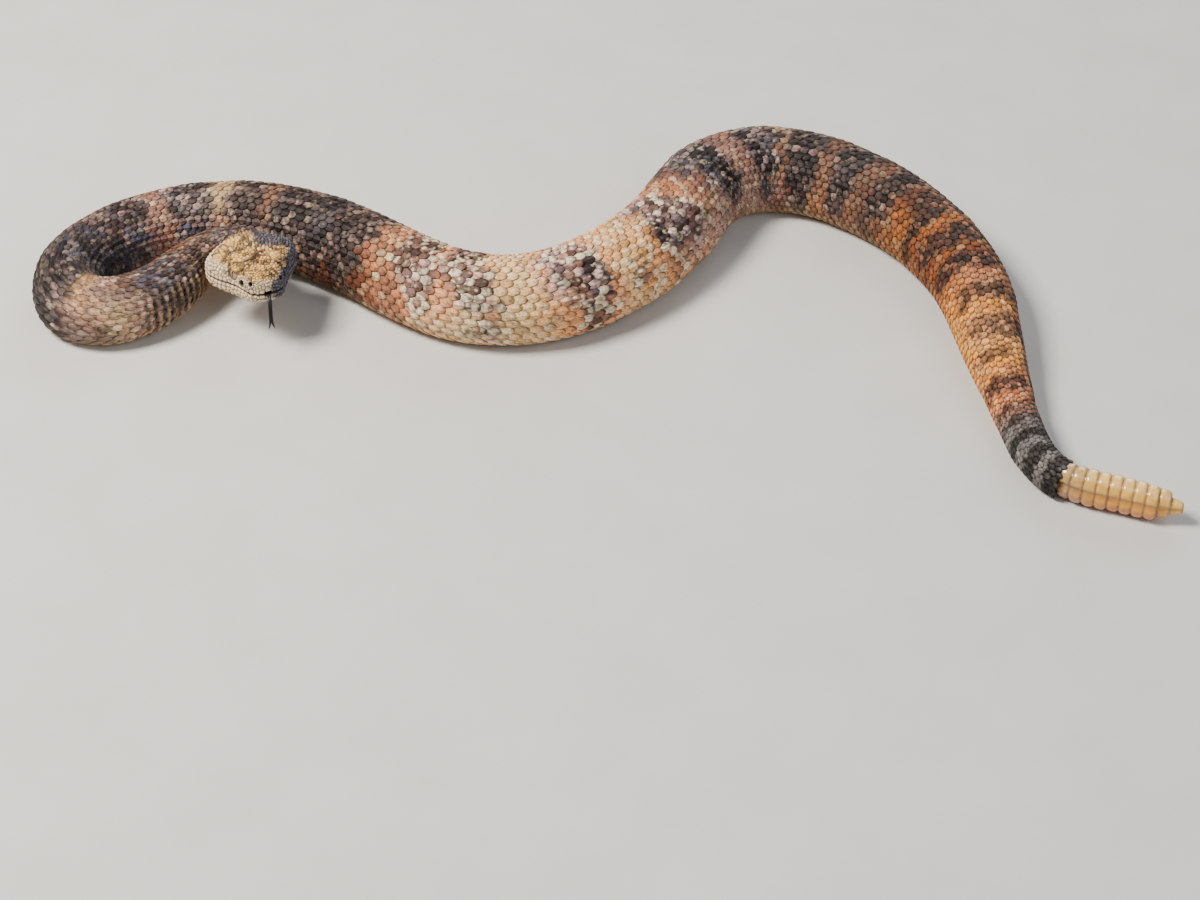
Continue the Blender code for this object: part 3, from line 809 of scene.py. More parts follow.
    def darken(self, tone: Array, at: BodyPlaces) -> Array:
        """Lay the dark patches, and the white speckles by them, over the ground colour.

        Args:
            tone: rows of colour between the patches.
            at: places of the rows.

        Returns:
            Rows of colour with the patches.
        """
        t, luck, bright, rear, tail = at.t, at.luck, at.bright, at.rear, at.tail
        mark, dark, cool = self.patches(at)
        pick = 0.55 * luck[..., 1] + 0.45 * at.speck
        heart = blend(blend(Tone.TAUPE, Tone.SLATE, cool), Tone.OXBLOOD, 0.7 * rear)
        shade = blend(blend(Tone.BARK, Tone.STORM, 0.6 * cool), Tone.UMBER, 0.5 * (1 - bright))
        heart = blend(heart, shade, smoothstep(0.36, 0.5, pick))
        rusty = 0.4 * zone(t, *self.RUSTY) * smoothstep(0.55, 0.75, at.other)
        heart = blend(blend(heart, Tone.RUST, rusty), Tone.INK, 0.8 * tail)
        glint = smoothstep(0.6, 0.72, 0.5 * at.other + 0.5 * luck[..., 0]) * (1 - tail)
        heart = blend(heart, blend(Tone.ROSE, Tone.SALMON, rear), 0.5 * glint)
        tone = blend(tone, heart, smoothstep(0.03, 0.4, mark) * (0.35 + 0.6 * dark))
        core = smoothstep(0.15, 0.9, mark) * dark
        black = smoothstep(0.52, 0.6, pick + 0.14 * core - 0.06)
        pitch = blend(Tone.INK, Tone.OXBLOOD, 0.14 + 0.36 * rear)
        tone = blend(tone, pitch, 0.85 * black * (0.1 + 0.9 * core))
        speckled = zone(t, *self.SPECKLED) * (at.v < -0.1)
        snow = 0.35 + 0.65 * bright + 0.5 * speckled - 0.25 * rear + 0.3 * zone(t, *self.SNOWY)
        edge = smoothstep(0.05, 0.3, mark)
        white = 0.62 * at.other + 0.38 * luck[..., 2] + 0.1 * edge * bright + 0.05 * (snow - 0.5)
        white = smoothstep(0.64, 0.76, white) * snow * (1 - 0.6 * tail)
        return blend(tone, Tone.CHALK, 0.75 * white)

    def body(self, t: Array, v: Array, luck: Array) -> Array:
        """Colour the neck, body and tail.

        Args:
            t: distance along the route.
            v: share of the girth from the middle of the back.
            luck: three random numbers from 0 to 1 for each place.

        Returns:
            Rows of linear colour.
        """
        at = self.survey(t, v, luck)
        t, v = at.t, at.v
        tone = self.darken(self.between_patches(at), at)
        # The neck's folds: paler on the ridges, with painted shade in the creases.
        fold, wave = fold_at(t, v)
        fold = fold * (0.4 + 0.6 * at.other)
        tone = blend(tone, Tone.CREAM, 0.35 * fold * smoothstep(0.45, 0.75, 1 - wave))
        tone = blend(tone, Tone.UMBER, 0.8 * fold * smoothstep(0.5, 0.9, wave))
        grain = self.speck(t / 0.7, v * 118.0, 20.5)
        dots = smoothstep(0.62, 0.74, self.speck(t / 0.45, v * 170.0, 27.5))
        # Painted light and shade along the body from DUSK, with more painted shade on the far
        # side of the first bend and of the tail, times a random brightness for each scale.
        bend = zone(t, *self.SHADED_BEND) + smoothstep(*self.SHADED_TAIL, t)
        light = look_up(self.DUSK, t) * (1 - 0.35 * bend * smoothstep(0.02, 0.14, -v))
        light = light * (0.3 + 0.8 * luck[..., 0] + 0.6 * grain**1.5)
        return soften(tone * light[..., None] * (1 - 0.6 * dots)[..., None])

    def belly(self, t: Array, luck: Array) -> Array:
        """Colour the scutes under the body."""
        grey = 0.5 * smoothstep(560, 590, t) + 0.35 * luck[..., 1] ** 3
        tone = blend(Tone.CREAM, Tone.ASH, grey)
        tone = blend(tone, Tone.ORANGE, 0.35 * smoothstep(200, 260, t) * (t < 570))
        return tone * (0.86 + 0.2 * luck[..., 0])[..., None]

    def head(self, spots: Array, luck: Array) -> Array:
        """Colour the head.

        Args:
            spots: places on it, in floor coordinates.
            luck: three random numbers from 0 to 1 for each place.

        Returns:
            Rows of linear colour.
        """
        back, left, up = head_place(spots)
        side = np.abs(left)
        cloud = self.fine(back / 2.2, left / 2.2, up / 2.2)
        broad = self.broad(back / 4.5, left / 4.5, up / 4.5)
        crown = smoothstep(4.6, 6.4, up + 1.6 * (broad - 0.5) + 0.06 * (12 - back))
        tone = blend(Tone.BONE, Tone.GOLD, crown)
        valley = hump(side - 1.2 * broad, 2.6) * zone(back, 7, 10, 15, 19) * crown
        tone = blend(tone, Tone.RUST, 0.6 * valley * smoothstep(0.3, 0.6, cloud))
        lip = hump(up - mouth_wave(back), 1.9)
        wavy = self.fine(back / 3.4 + broad, left / 3.0, up / 3.4 + 9.5)
        wavy = hump(wavy - 0.5, 0.085) * (0.3 + 0.7 * crown) * (1 - 0.7 * lip)
        tone = blend(tone, Tone.BARK, 0.8 * wavy)
        rear = smoothstep(19, 27, back) * crown
        tone = blend(tone, Tone.BARK, rear * smoothstep(0.5, 0.75, broad) * 0.5)
        first = hump(back - 13.6 - 0.2 * left - 1.2 * np.sin(left / 2.4), 0.8) * (side < 8.5)
        second = hump(back - 20.4 - 0.3 * left - 0.9 * np.sin(left / 1.7), 0.9) * (left < 2.5)
        bands = np.maximum(first, second) * crown
        tone = blend(tone, Tone.BARK, 0.85 * bands * smoothstep(0.05, 0.35, cloud))
        # Painted shade, in blue-grey, over the head's left side and its rear left corner.
        corner = smoothstep(16.0, 19.0, back + 1.5 * (broad - 0.5)) * smoothstep(0.8, 3.4, left)
        half = 0.5 * head_shape(np.clip(back, 0.0, HEAD_LENGTH))[0]
        dusk = smoothstep(0.3, 0.6, left / np.maximum(half, 3.0)) * (1 - 0.8 * crown)
        shaded = np.maximum(dusk, corner)
        tone = blend(tone, 0.9 * Tone.STORM.light, 0.93 * shaded)
        dark = smoothstep(0.56, 0.68, 0.62 * cloud + 0.4 * luck[..., 1]) * (0.38 + 0.32 * crown)
        tone = blend(tone, Tone.UMBER, dark * (1 - 0.6 * lip))
        grey = smoothstep(0.75, 0.9, luck[..., 2]) * (1 - crown)
        tone = blend(tone, Tone.SLATE, 0.45 * grey)
        pale = smoothstep(0.75, 0.95, luck[..., 0])
        tone = blend(tone, Tone.CREAM, 0.5 * pale * (1 - shaded))
        chin = 1 - smoothstep(-4.5, -2.5, up)
        tone = blend(tone, Tone.CREAM, 0.7 * chin * (1 - 0.6 * dusk))
        grain = self.speck(back / 0.6, left / 0.6, up / 0.6)
        return soften(tone * (0.66 + 0.66 * luck[..., 0] + 0.62 * grain)[..., None])


def ring_quads(rings: int, sides: int) -> Array:
    """Four-sided faces that skin rings of `sides` points to each other, one to a row.

    Args:
        rings: how many rings.
        sides: points of a ring.

    Returns:
        Rows of four points.
    """
    i, j = np.meshgrid(np.arange(rings - 1), np.arange(sides), indexing="ij")
    k = (j + 1) % sides
    corners = (i * sides + j, i * sides + k, (i + 1) * sides + k, (i + 1) * sides + j)
    return np.stack(corners, axis=-1).reshape(-1, 4)


def point_grid(along: tuple, across: tuple) -> tuple:
    """Places along and across, for every point of a sheet."""
    share, place = np.meshgrid(along, across, indexing="ij")
    return share.ravel(), place.ravel()


def pack_relief(shape: tuple, rim: object, slope: object, keel: object) -> Array:
    """Stack what the finishes read: nearness to the rim, place along, and keel."""
    return np.stack([np.broadcast_to(part, shape) for part in (rim, slope, keel)], axis=-1)


@dataclass
class Faces:
    """Faces of a mesh: the points at their corners, in turn, and how many each has."""

    loops: Array
    totals: Array

    @classmethod
    def sheet(cls, rows: int, columns: int) -> "Faces":
        """Rows by columns of points over one flat face that closes them underneath.

        Args:
            rows: rows of points.
            columns: points of a row.

        Returns:
            The faces of one piece.
        """
        grid = np.arange(rows * columns).reshape(rows, columns)
        quads = np.stack([grid[:-1, :-1], grid[:-1, 1:], grid[1:, 1:], grid[1:, :-1]], axis=-1)
        rim = np.concatenate([grid[0], grid[1:, -1], grid[-1, -2::-1], grid[-2:0:-1, 0]])[::-1]
        totals = np.append(np.full(quads.size // 4, 4), len(rim))
        return cls(np.concatenate([quads.ravel(), rim]), totals)

    @classmethod
    def tube(cls, rings: int, sides: int) -> "Faces":
        """Rings of points skinned to each other, with both ends capped.

        Args:
            rings: how many rings.
            sides: points of a ring.

        Returns:
            The faces of one piece.
        """
        first = np.arange(sides)
        caps = np.concatenate([first[::-1], (rings - 1) * sides + first])
        loops = np.concatenate([ring_quads(rings, sides).ravel(), caps])
        return cls(loops, np.append(np.full((rings - 1) * sides, 4), [sides, sides]))

    @classmethod
    def button(cls, rings: int, sides: int) -> "Faces":
        """A middle point and rings round it, closed by one flat face underneath.

        Args:
            rings: how many rings.
            sides: points of a ring.

        Returns:
            The faces of one piece.
        """
        first = 1 + np.arange(sides)
        fan = np.stack([np.zeros(sides, int), first, np.roll(first, -1)], axis=-1)
        quads = 1 + ring_quads(rings, sides)[:, [0, 3, 2, 1]]
        under = (first + (rings - 1) * sides)[::-1]
        totals = np.concatenate([np.full(sides, 3), np.full(len(quads), 4), [sides]])
        return cls(np.concatenate([fan.ravel(), quads.ravel(), under]), totals)

    def repeat(self, copies: int, points: int) -> "Faces":
        """The faces of many copies of one piece that has so many points."""
        shift = np.arange(copies)[:, None] * points
        return Faces((self.loops[None, :] + shift).ravel(), np.tile(self.totals, copies))


@dataclass
class Patchwork:
    """Arrays of one mesh: a row for each point, and a place on the map for each corner."""

    faces: Faces
    spots: Array
    tint: Array
    relief: Array
    corner_map: Array

    @classmethod
    def of_copies(
        cls, faces: Faces, spots: Array, tint: Array, relief: Array, point_map: Array
    ) -> "Patchwork":
        """Join many copies of one small piece.

        Args:
            faces: faces of one copy.
            spots: copies by points by coordinates.
            tint: colours of the same points.
            relief: relief values of the same points.
            point_map: places of the same points on the bake map.

        Returns:
            The arrays of the joined mesh.
        """
        faces = faces.repeat(*spots.shape[:2])
        return cls(faces, spots, tint, relief, point_map.reshape(-1, 2)[faces.loops])

    def build(self, name: str, material: Material) -> Object:
        """Write the mesh with its attributes and its bake map.

        Args:
            name: name of the object.
            material: its only material.

        Returns:
            The new object, at the origin.
        """
        loops, totals = self.faces.loops, self.faces.totals
        spots = self.spots.reshape(-1, 3)
        mesh = bpy.data.meshes.new(name)
        mesh.vertices.add(len(spots))
        mesh.vertices.foreach_set("co", (spots * MM).astype(np.float32).ravel())
        mesh.loops.add(len(loops))
        mesh.loops.foreach_set("vertex_index", loops.astype(np.int32))
        starts = np.concatenate([[0], np.cumsum(totals)[:-1]])
        mesh.polygons.add(len(totals))
        mesh.polygons.foreach_set("loop_start", starts.astype(np.int32))
        mesh.polygons.foreach_set("loop_total", totals.astype(np.int32))
        mesh.update(calc_edges=True)
        ones = np.ones((len(spots), 1))
        for label, values in (("Tint", self.tint), ("Relief", self.relief)):
            layer = mesh.attributes.new(label, "FLOAT_COLOR", "POINT")
            colours = np.concatenate([values.reshape(-1, 3), ones], axis=1)
            layer.data.foreach_set("color", colours.astype(np.float32).ravel())
        bake = mesh.uv_layers.new(name="OFBake")
        bake.data.foreach_set("uv", self.corner_map.astype(np.float32).ravel())
        mesh.shade_smooth()
        mesh.materials.append(material)
        thing = bpy.data.objects.new(name, mesh)
        bpy.context.scene.collection.objects.link(thing)
        LOG.info("%s: %d triangles", name, int((totals - 2).sum()))
        return thing


@dataclass
class Loft:
    """Closed rings of equal count, skinned into one mesh with capped ends.

    `down` places the rings along the bake map, `wrap` is the share of the map that they
    take across, and `cap` is the size, place and gap of the two caps on the map.
    """

    rings: Array
    tint: Array
    relief: Array
    down: Array | None = None
    wrap: float = 0.9
    cap: tuple = (0.015, 0.02, 0.955)

    def corner_map(self) -> Array:
        """Places of the faces' corners on the bake map.

        Returns:
            Rows of two, in the order of the faces' corners.
        """
        count, sides = self.rings.shape[:2]
        down = np.arange(count) / count * 0.9 + 0.05 if self.down is None else self.down
        size, where, gap = self.cap
        i, j = np.meshgrid(np.arange(count - 1), np.arange(sides), indexing="ij")
        u = np.stack([down[i], down[i], down[i + 1], down[i + 1]], axis=-1)
        w = np.stack([j, j + 1, j + 1, j], axis=-1) / sides * self.wrap + (1 - self.wrap) / 2
        turn = np.arange(sides) / sides * 2 * np.pi
        disc = np.stack([np.cos(turn), np.sin(turn)], axis=-1) * size + where
        return np.concatenate([
            np.stack([u, w], axis=-1).reshape(-1, 2), disc[::-1], disc + [gap, 0.0]
        ])

    def build(self, name: str, material: Material) -> Object:
        """Skin the rings and cap both ends."""
        faces = Faces.tube(*self.rings.shape[:2])
        work = Patchwork(faces, self.rings, self.tint, self.relief, self.corner_map())
        return work.build(name, material)


@dataclass
class Shingles:
    """Overlapping keeled scales on a lattice along the body."""

    surface: Surface
    markings: Markings
    along: tuple = (0.0, 0.15, 0.31, 0.46, 0.6, 0.73, 0.84, 0.93, 0.985)
    across: tuple = (-1.0, -0.66, -0.34, -0.1, 0.0, 0.1, 0.34, 0.66, 1.0)
    overlap: float = 1.5
    swell: float = 0.74
    depth: float = 0.5
    belly_from: float = 0.374

    def pitch(self, t: Array) -> Array:
        """Distance from one scale of a row to the next."""
        return 1.3 + 0.0715 * read_table(WIDTHS, np.clip(t, 0, TAIL_END))

    def ranks(self, start: float, end: float) -> Array:
        """Places of the scales of one row between two distances.

        Args:
            start: first distance.
            end: last distance.

        Returns:
            The places.
        """
        marks = [0.0]
        while marks[-1] < TAIL_END + 2:
            marks.append(marks[-1] + float(self.pitch(np.array(marks[-1]))))
        marks = np.array(marks) - 4.0
        return marks[(marks >= start) & (marks < end)]

    def outline(self, share: Array) -> Array:
        """Half width of a scale along it, as a share of its widest."""
        front = 0.72 + 0.28 * np.sin(0.5 * np.pi * np.clip(share / 0.4, 0, 1))
        rear = np.clip(1 - (np.clip(share - 0.4, 0, 1) / 0.6) ** 1.9, 0, 1) ** 0.62
        return np.where(share < 0.4, front, rear)

    def lattice(self, start: float, end: float, rows: int) -> tuple:
        """Places of the fronts of the scales, every other row half a step back.

        Args:
            start: where the stretch starts.
            end: where it ends.
            rows: how many rows cross the back.

        Returns:
            Distances along the route and shares of the girth.
        """
        marks = self.ranks(start - 2.5, end)
        lanes = np.arange(-(rows // 2), rows // 2 + 1)[:, None]
        t = marks + 0.5 * self.pitch(marks) * (lanes % 2)
        v = lanes * (2 * self.belly_from / rows) * np.ones(len(marks))
        return t.ravel(), v.ravel()

    def lift(self, size: Array, edge: Array, share: Array, place: Array) -> tuple:
        """Height of the scales over the surface.

        Args:
            size: thickness of each scale, as a share.
            edge: nearness of each scale to the belly, 0 to 1.
            share: place along a scale of each of its points.
            place: place across a scale of each of its points, -1 to 1.

        Returns:
            Heights of the points, scales by points, and nearness to the keel, 0 to 1.
        """
        crest = hump(place, 0.1) * smoothstep(0.05, 0.3, share)
        rise = -self.depth * size - 0.08 + 0.56 * size * share
        rise = rise + size * 0.14 * (1 - place**2) * np.sin(np.pi * share) ** 0.7
        keel = 0.22 * (1 - 0.75 * edge)
        rise = rise + size * keel * crest * (1 - 0.9 * smoothstep(0.78, 1.0, share))
        rise = rise - 0.14 * size * smoothstep(0.88, 1.0, share)
        return rise - 0.16 * size * np.abs(place) ** 3, crest

    def build(
        self, name: str, start: float, end: float, rows: int, material: Material
    ) -> Object:
        """Make the scales of one stretch of the body.

        Args:
            name: name of the piece.
            start: where the stretch starts along the route.
            end: where it ends.
            rows: how many rows of scales cross the back, an odd number.
            material: finish of the scales.

        Returns:
            The piece.
        """
        t, v = self.lattice(start, end, rows)
        spacing = 2 * self.belly_from / rows
        rng = np.random.default_rng(SEED + int(start))
        luck = rng.random((len(t), 3))
        wobble = rng.normal(size=(len(t), 4))
        pitch = self.pitch(t)
        t = t + 0.05 * pitch * wobble[:, 0]
        v = v + 0.035 * spacing * wobble[:, 1]
        girth = self.surface.girth(t)
        squeeze = self.surface.read(self.surface.stretch, t + 0.5 * pitch, v)
        length = self.overlap * pitch * (1 + 0.05 * wobble[:, 2])
        length = length * np.clip(squeeze, 0.42, 1.35) / np.maximum(squeeze, 0.3)
        edge = smoothstep(0.26, 0.36, np.abs(v))
        half = self.swell * spacing * girth * (1 + 0.04 * wobble[:, 3]) * (1 + 0.12 * edge)
        share, place = point_grid(self.along, self.across)
        s = t[:, None] + (share[None, :] - 0.12) * length[:, None]
        u = v[:, None] + place * self.outline(share) * (half / girth)[:, None]
        on_body = np.minimum(s, TAIL_END)
        spots, normals = self.surface.at(on_body, u)
        size = np.clip(half / 2.1, 0.45, 1.15)[:, None]
        rise, crest = self.lift(size, edge[:, None], share, place)
        past = level_way(route_at(TAIL_END)[1]) * np.maximum(s - TAIL_END, 0.0)[..., None]
        spots = spots + normals * rise[..., None] + past
        spots[..., 2] = np.maximum(spots[..., 2], 0.04)
        chance = np.repeat(luck[:, None, :], len(share), axis=1)
        chance[..., 2] += 0.12 * (share - 0.6)
        rim = smoothstep(0.62, 1.0, np.maximum(np.abs(place), share))
        relief = pack_relief(s.shape, rim, share, crest * (1 - edge[:, None]))
        down = ((t - start) / (end - start + 6) * 0.94 + 0.02)[:, None]
        spread = np.stack([down + 0.003 * (share - 0.5), (v + 0.5)[:, None] + 0.0015 * place], -1)
        LOG.info("%s: %d scales", name, len(t))
        faces = Faces.sheet(len(self.along), len(self.across))
        tint = self.markings.body(on_body, u, chance)
        return Patchwork.of_copies(faces, spots, tint, relief, spread).build(name, material)


@dataclass
class Scutes:
    """Wide plates under the body, each lapping over the next."""

    surface: Surface
    markings: Markings
    along: tuple = (0.0, 0.3, 0.6, 0.85, 1.0)
    across: tuple = (-1.0, -0.93, -0.8, -0.6, -0.3, 0.0, 0.3, 0.6, 0.8, 0.93, 1.0)

    def build(self, name: str, material: Material) -> Object:
        """Make the scutes from the throat to the rattle.

        Args:
            name: name of the piece.
            material: finish of the scutes.

        Returns:
            The piece.
        """
        shingles = Shingles(self.surface, self.markings)
        marks = shingles.ranks(-2.0, TAIL_END - 1)
        pitch = shingles.pitch(marks)
        luck = np.random.default_rng(SEED + 5).random((len(marks), 3))
        share, place = point_grid(self.along, self.across)
        half = 0.5 - shingles.belly_from + 0.012
        bow = 0.25 * (1 - place**2) + 0.15 * np.abs(place) ** 6
        t = marks[:, None] + (1.35 * share + bow * share) * pitch[:, None]
        v = 0.5 + place * half * (1 - 0.06 * share**4)
        spots, normals = self.surface.at(np.minimum(t, TAIL_END), v)
        size = np.clip(self.surface.girth(marks) / 95.0, 0.5, 1.0)[:, None]
        rise = size * (-0.55 + 0.45 * share - 0.15 * np.abs(place) ** 4)
        spots = spots + normals * rise[..., None]
        spots[..., 2] = np.maximum(spots[..., 2], 0.02 + 0.02 * (1 - share))
        tint = np.repeat(self.markings.belly(marks, luck)[:, None, :], len(share), 1)
        rim = smoothstep(0.8, 1.0, np.maximum(share, np.abs(place)))
        relief = pack_relief(t.shape, rim, share, 0.0)
        down = (marks / TAIL_END * 0.96 + 0.02)[:, None] + 0.003 * (share - 0.5)
        spread = np.stack([down, np.broadcast_to(0.5 + 0.02 * place, t.shape)], axis=-1)
        faces = Faces.sheet(len(self.along), len(self.across))
        return Patchwork.of_copies(faces, spots, tint, relief, spread).build(name, material)


@dataclass
class Skin:
    """One closed skin from the snout to the rattle, under the scales."""

    surface: Surface
    markings: Markings
    columns: int = 160
    body_step: int = 4
    shade: float = 0.3
    hollow_tint: tuple = (34, 22, 20)

    def sink(self, marks: Array) -> Array:
        """How far the skin lies inside the solids."""
        size = np.clip(read_table(WIDTHS, np.maximum(marks, 0)) / 33.0, 0.45, 1.0)
        return np.where(marks < 0, 0.3, 0.3 + (0.56 * size - 0.3) * smoothstep(0, 8, marks))

    def build(self, name: str, material: Material) -> Object:
        """Make the skin.

        Args:
            name: name of the piece.
            material: finish of the skin.

        Returns:
            The piece.
        """
        marks = self.surface.marks
        behind = np.flatnonzero(marks >= 0)
        rows = np.unique(np.concatenate([
            np.flatnonzero(marks < 0), behind[:: self.body_step], behind[-1:]
        ]))
        marks = marks[rows]
        every = self.surface.COLUMNS // self.columns
        spots, normals, hollow_shade = (
            grid[rows][:, ::every]
            for grid in (self.surface.spots, self.surface.normals, self.surface.hollow_shade)
        )
        spots = spots - normals * self.sink(marks)[:, None, None]
        spots[..., 2] = np.maximum(spots[..., 2], 0.3 * (marks > 50)[:, None])
        share = np.arange(self.columns) / self.columns - 0.5
        luck = np.random.default_rng(SEED + 6).random((*spots.shape[:2], 3)) * 0.3 + 0.35
        place = np.broadcast_to(marks[:, None], spots.shape[:2])
        body = self.markings.body(place, np.broadcast_to(share, spots.shape[:2]), luck)
        tint = blend(self.markings.head(spots, luck), body, smoothstep(-3.0, 3.0, place))
        # Painted shade: the skin under the scales is darkened, and darker still in the holes, the
        # mouth and the slot at the snout.
        tint = blend(self.shade * tint, srgb(*self.hollow_tint), hollow_shade)
        down = (marks - marks[0]) / (marks[-1] - marks[0]) * 0.98 + 0.01
        tube = Loft(spots, tint, np.zeros(spots.shape), down, 0.96, (0.004, 0.006, 0.98))
        return tube.build(name, material)


class Ground:
    """The head's surface, to find the nearest place on it and the normal there."""

    END = 8.0
    EVERY = 2

    def __init__(self, surface: Surface) -> None:
        """Take every other column of the surface, to just behind the head.

        Args:
            surface: surface of the animal.
        """
        rows = np.flatnonzero(surface.marks < self.END)
        spots = surface.spots[rows][:, :: self.EVERY]
        self.normals = surface.normals[rows][:, :: self.EVERY].reshape(-1, 3)
        self.quads = ring_quads(*spots.shape[:2])
        self.tree = BVHTree.FromPolygons(spots.reshape(-1, 3).tolist(), self.quads.tolist())

    def settle(self, wanted: Array) -> tuple:
        """Give the nearest places on the surface and the mean normals of their faces.

        Args:
            wanted: places near the surface.

        Returns:
            Places on it and normals.
        """
        places, ways = np.empty_like(wanted), np.empty_like(wanted)
        for index in np.ndindex(wanted.shape[:-1]):
            places[index], _, face, _ = self.tree.find_nearest(Vector(wanted[index]))
            ways[index] = self.normals[self.quads[face]].mean(axis=0)
        return places, ways


def spoke_pull(x: Array, y: Array, split: Array, turn: Array) -> Array:
    """How strongly a neighbour holds back each spoke of a scale.

    Args:
        x: way to the neighbour, towards the tail.
        y: way to the neighbour, across.
        split: distance at which the two meet.
        turn: directions of the spokes.

    Returns:
        The pulls, with the spokes on a last axis of their own.
    """
    flat = np.maximum(np.hypot(x, y), 1e-6)
    cosine = (x[..., None] * np.cos(turn) + y[..., None] * np.sin(turn)) / flat[..., None]
    return (np.maximum(cosine, 0.0) / split[..., None]) ** SPOKE_SHARPNESS


@dataclass
class Cells:
    """The scales of the head before they have a shape: where they sit and how they face."""

    places: Array
    ways: Array
    radii: Array
    is_lip: Array

    def __post_init__(self) -> None:
        """Work out the ways to the tail and across, and the places on the head."""
        self.ways = unit(self.ways)
        tail = -FORWARD - (self.ways @ -FORWARD)[:, None] * self.ways
        tail[np.linalg.norm(tail, axis=1) < 0.25] = np.array([0, 0, 1.0])
        self.tail = unit(tail - (tail * self.ways).sum(1, keepdims=True) * self.ways)
        self.over = np.cross(self.ways, self.tail)
        self.back, self.left, self.up = head_place(self.places)
        self.line = self.up - mouth_wave(self.back)

    def reach(self, turn: Array) -> Array:
        """How far each scale grows along its spokes before it meets something."""
        pull = np.concatenate([self.mate_pull(turn), self.hole_pull(turn)], axis=1)
        limit = (1 / (np.where(self.is_lip, 1.5, 1.4) * self.radii)[:, None]) ** SPOKE_SHARPNESS
        return (pull.sum(axis=1) + limit) ** (-1 / SPOKE_SHARPNESS)

    def mate_pull(self, turn: Array) -> Array:
        """How the nearest scales hold back each scale, by mates and spokes.

        Args:
            turn: directions of the spokes.

        Returns:
            The pulls, with the scales first.
        """
        gaps = self.places[None, :, :] - self.places[:, None, :]
        distance = np.linalg.norm(gaps, axis=2)
        np.fill_diagonal(distance, 1e9)
        near = np.argsort(distance, axis=1)[:, :12]
        mates = np.take_along_axis(gaps, near[..., None], axis=1)
        x = (mates * self.tail[:, None, :]).sum(2)
        y = (mates * self.over[:, None, :]).sum(2)
        part = self.radii[:, None] / (self.radii[:, None] + self.radii[near])
        split = np.take_along_axis(distance, near, axis=1) * part
        opposite = self.is_lip[:, None] & self.is_lip[near]
        opposite &= self.line[:, None] * self.line[near] < 0
        return spoke_pull(x, y, np.where(opposite, split * 0.9, split), turn)

    def hole_pull(self, turn: Array) -> Array:
        """How the holes and the mouth hold back each scale, by holes and spokes.

        Args:
            turn: directions of the spokes.

        Returns:
            The pulls, with the scales first.
        """
        pulls = []
        for side in Side:
            for hole in HOLES:
                out = side * head_side(hole.back, hole.up)
                gap = head_point(hole.back, out, hole.up) - self.places
                split = np.maximum(np.linalg.norm(gap, axis=1) - hole.radius, 0.12)
                x, y = (gap * self.tail).sum(1), (gap * self.over).sum(1)
                pulls.append(spoke_pull(x, y, split, turn))
        x, y = (-np.sign(self.line) * way[:, 2] for way in (self.tail, self.over))
        split = np.maximum(np.abs(self.line) - 0.16, 0.12) + 9.0 * (self.back > MOUTH_CORNER)
        pulls.append(spoke_pull(x, y, split, turn))
        return np.stack(pulls, axis=1)


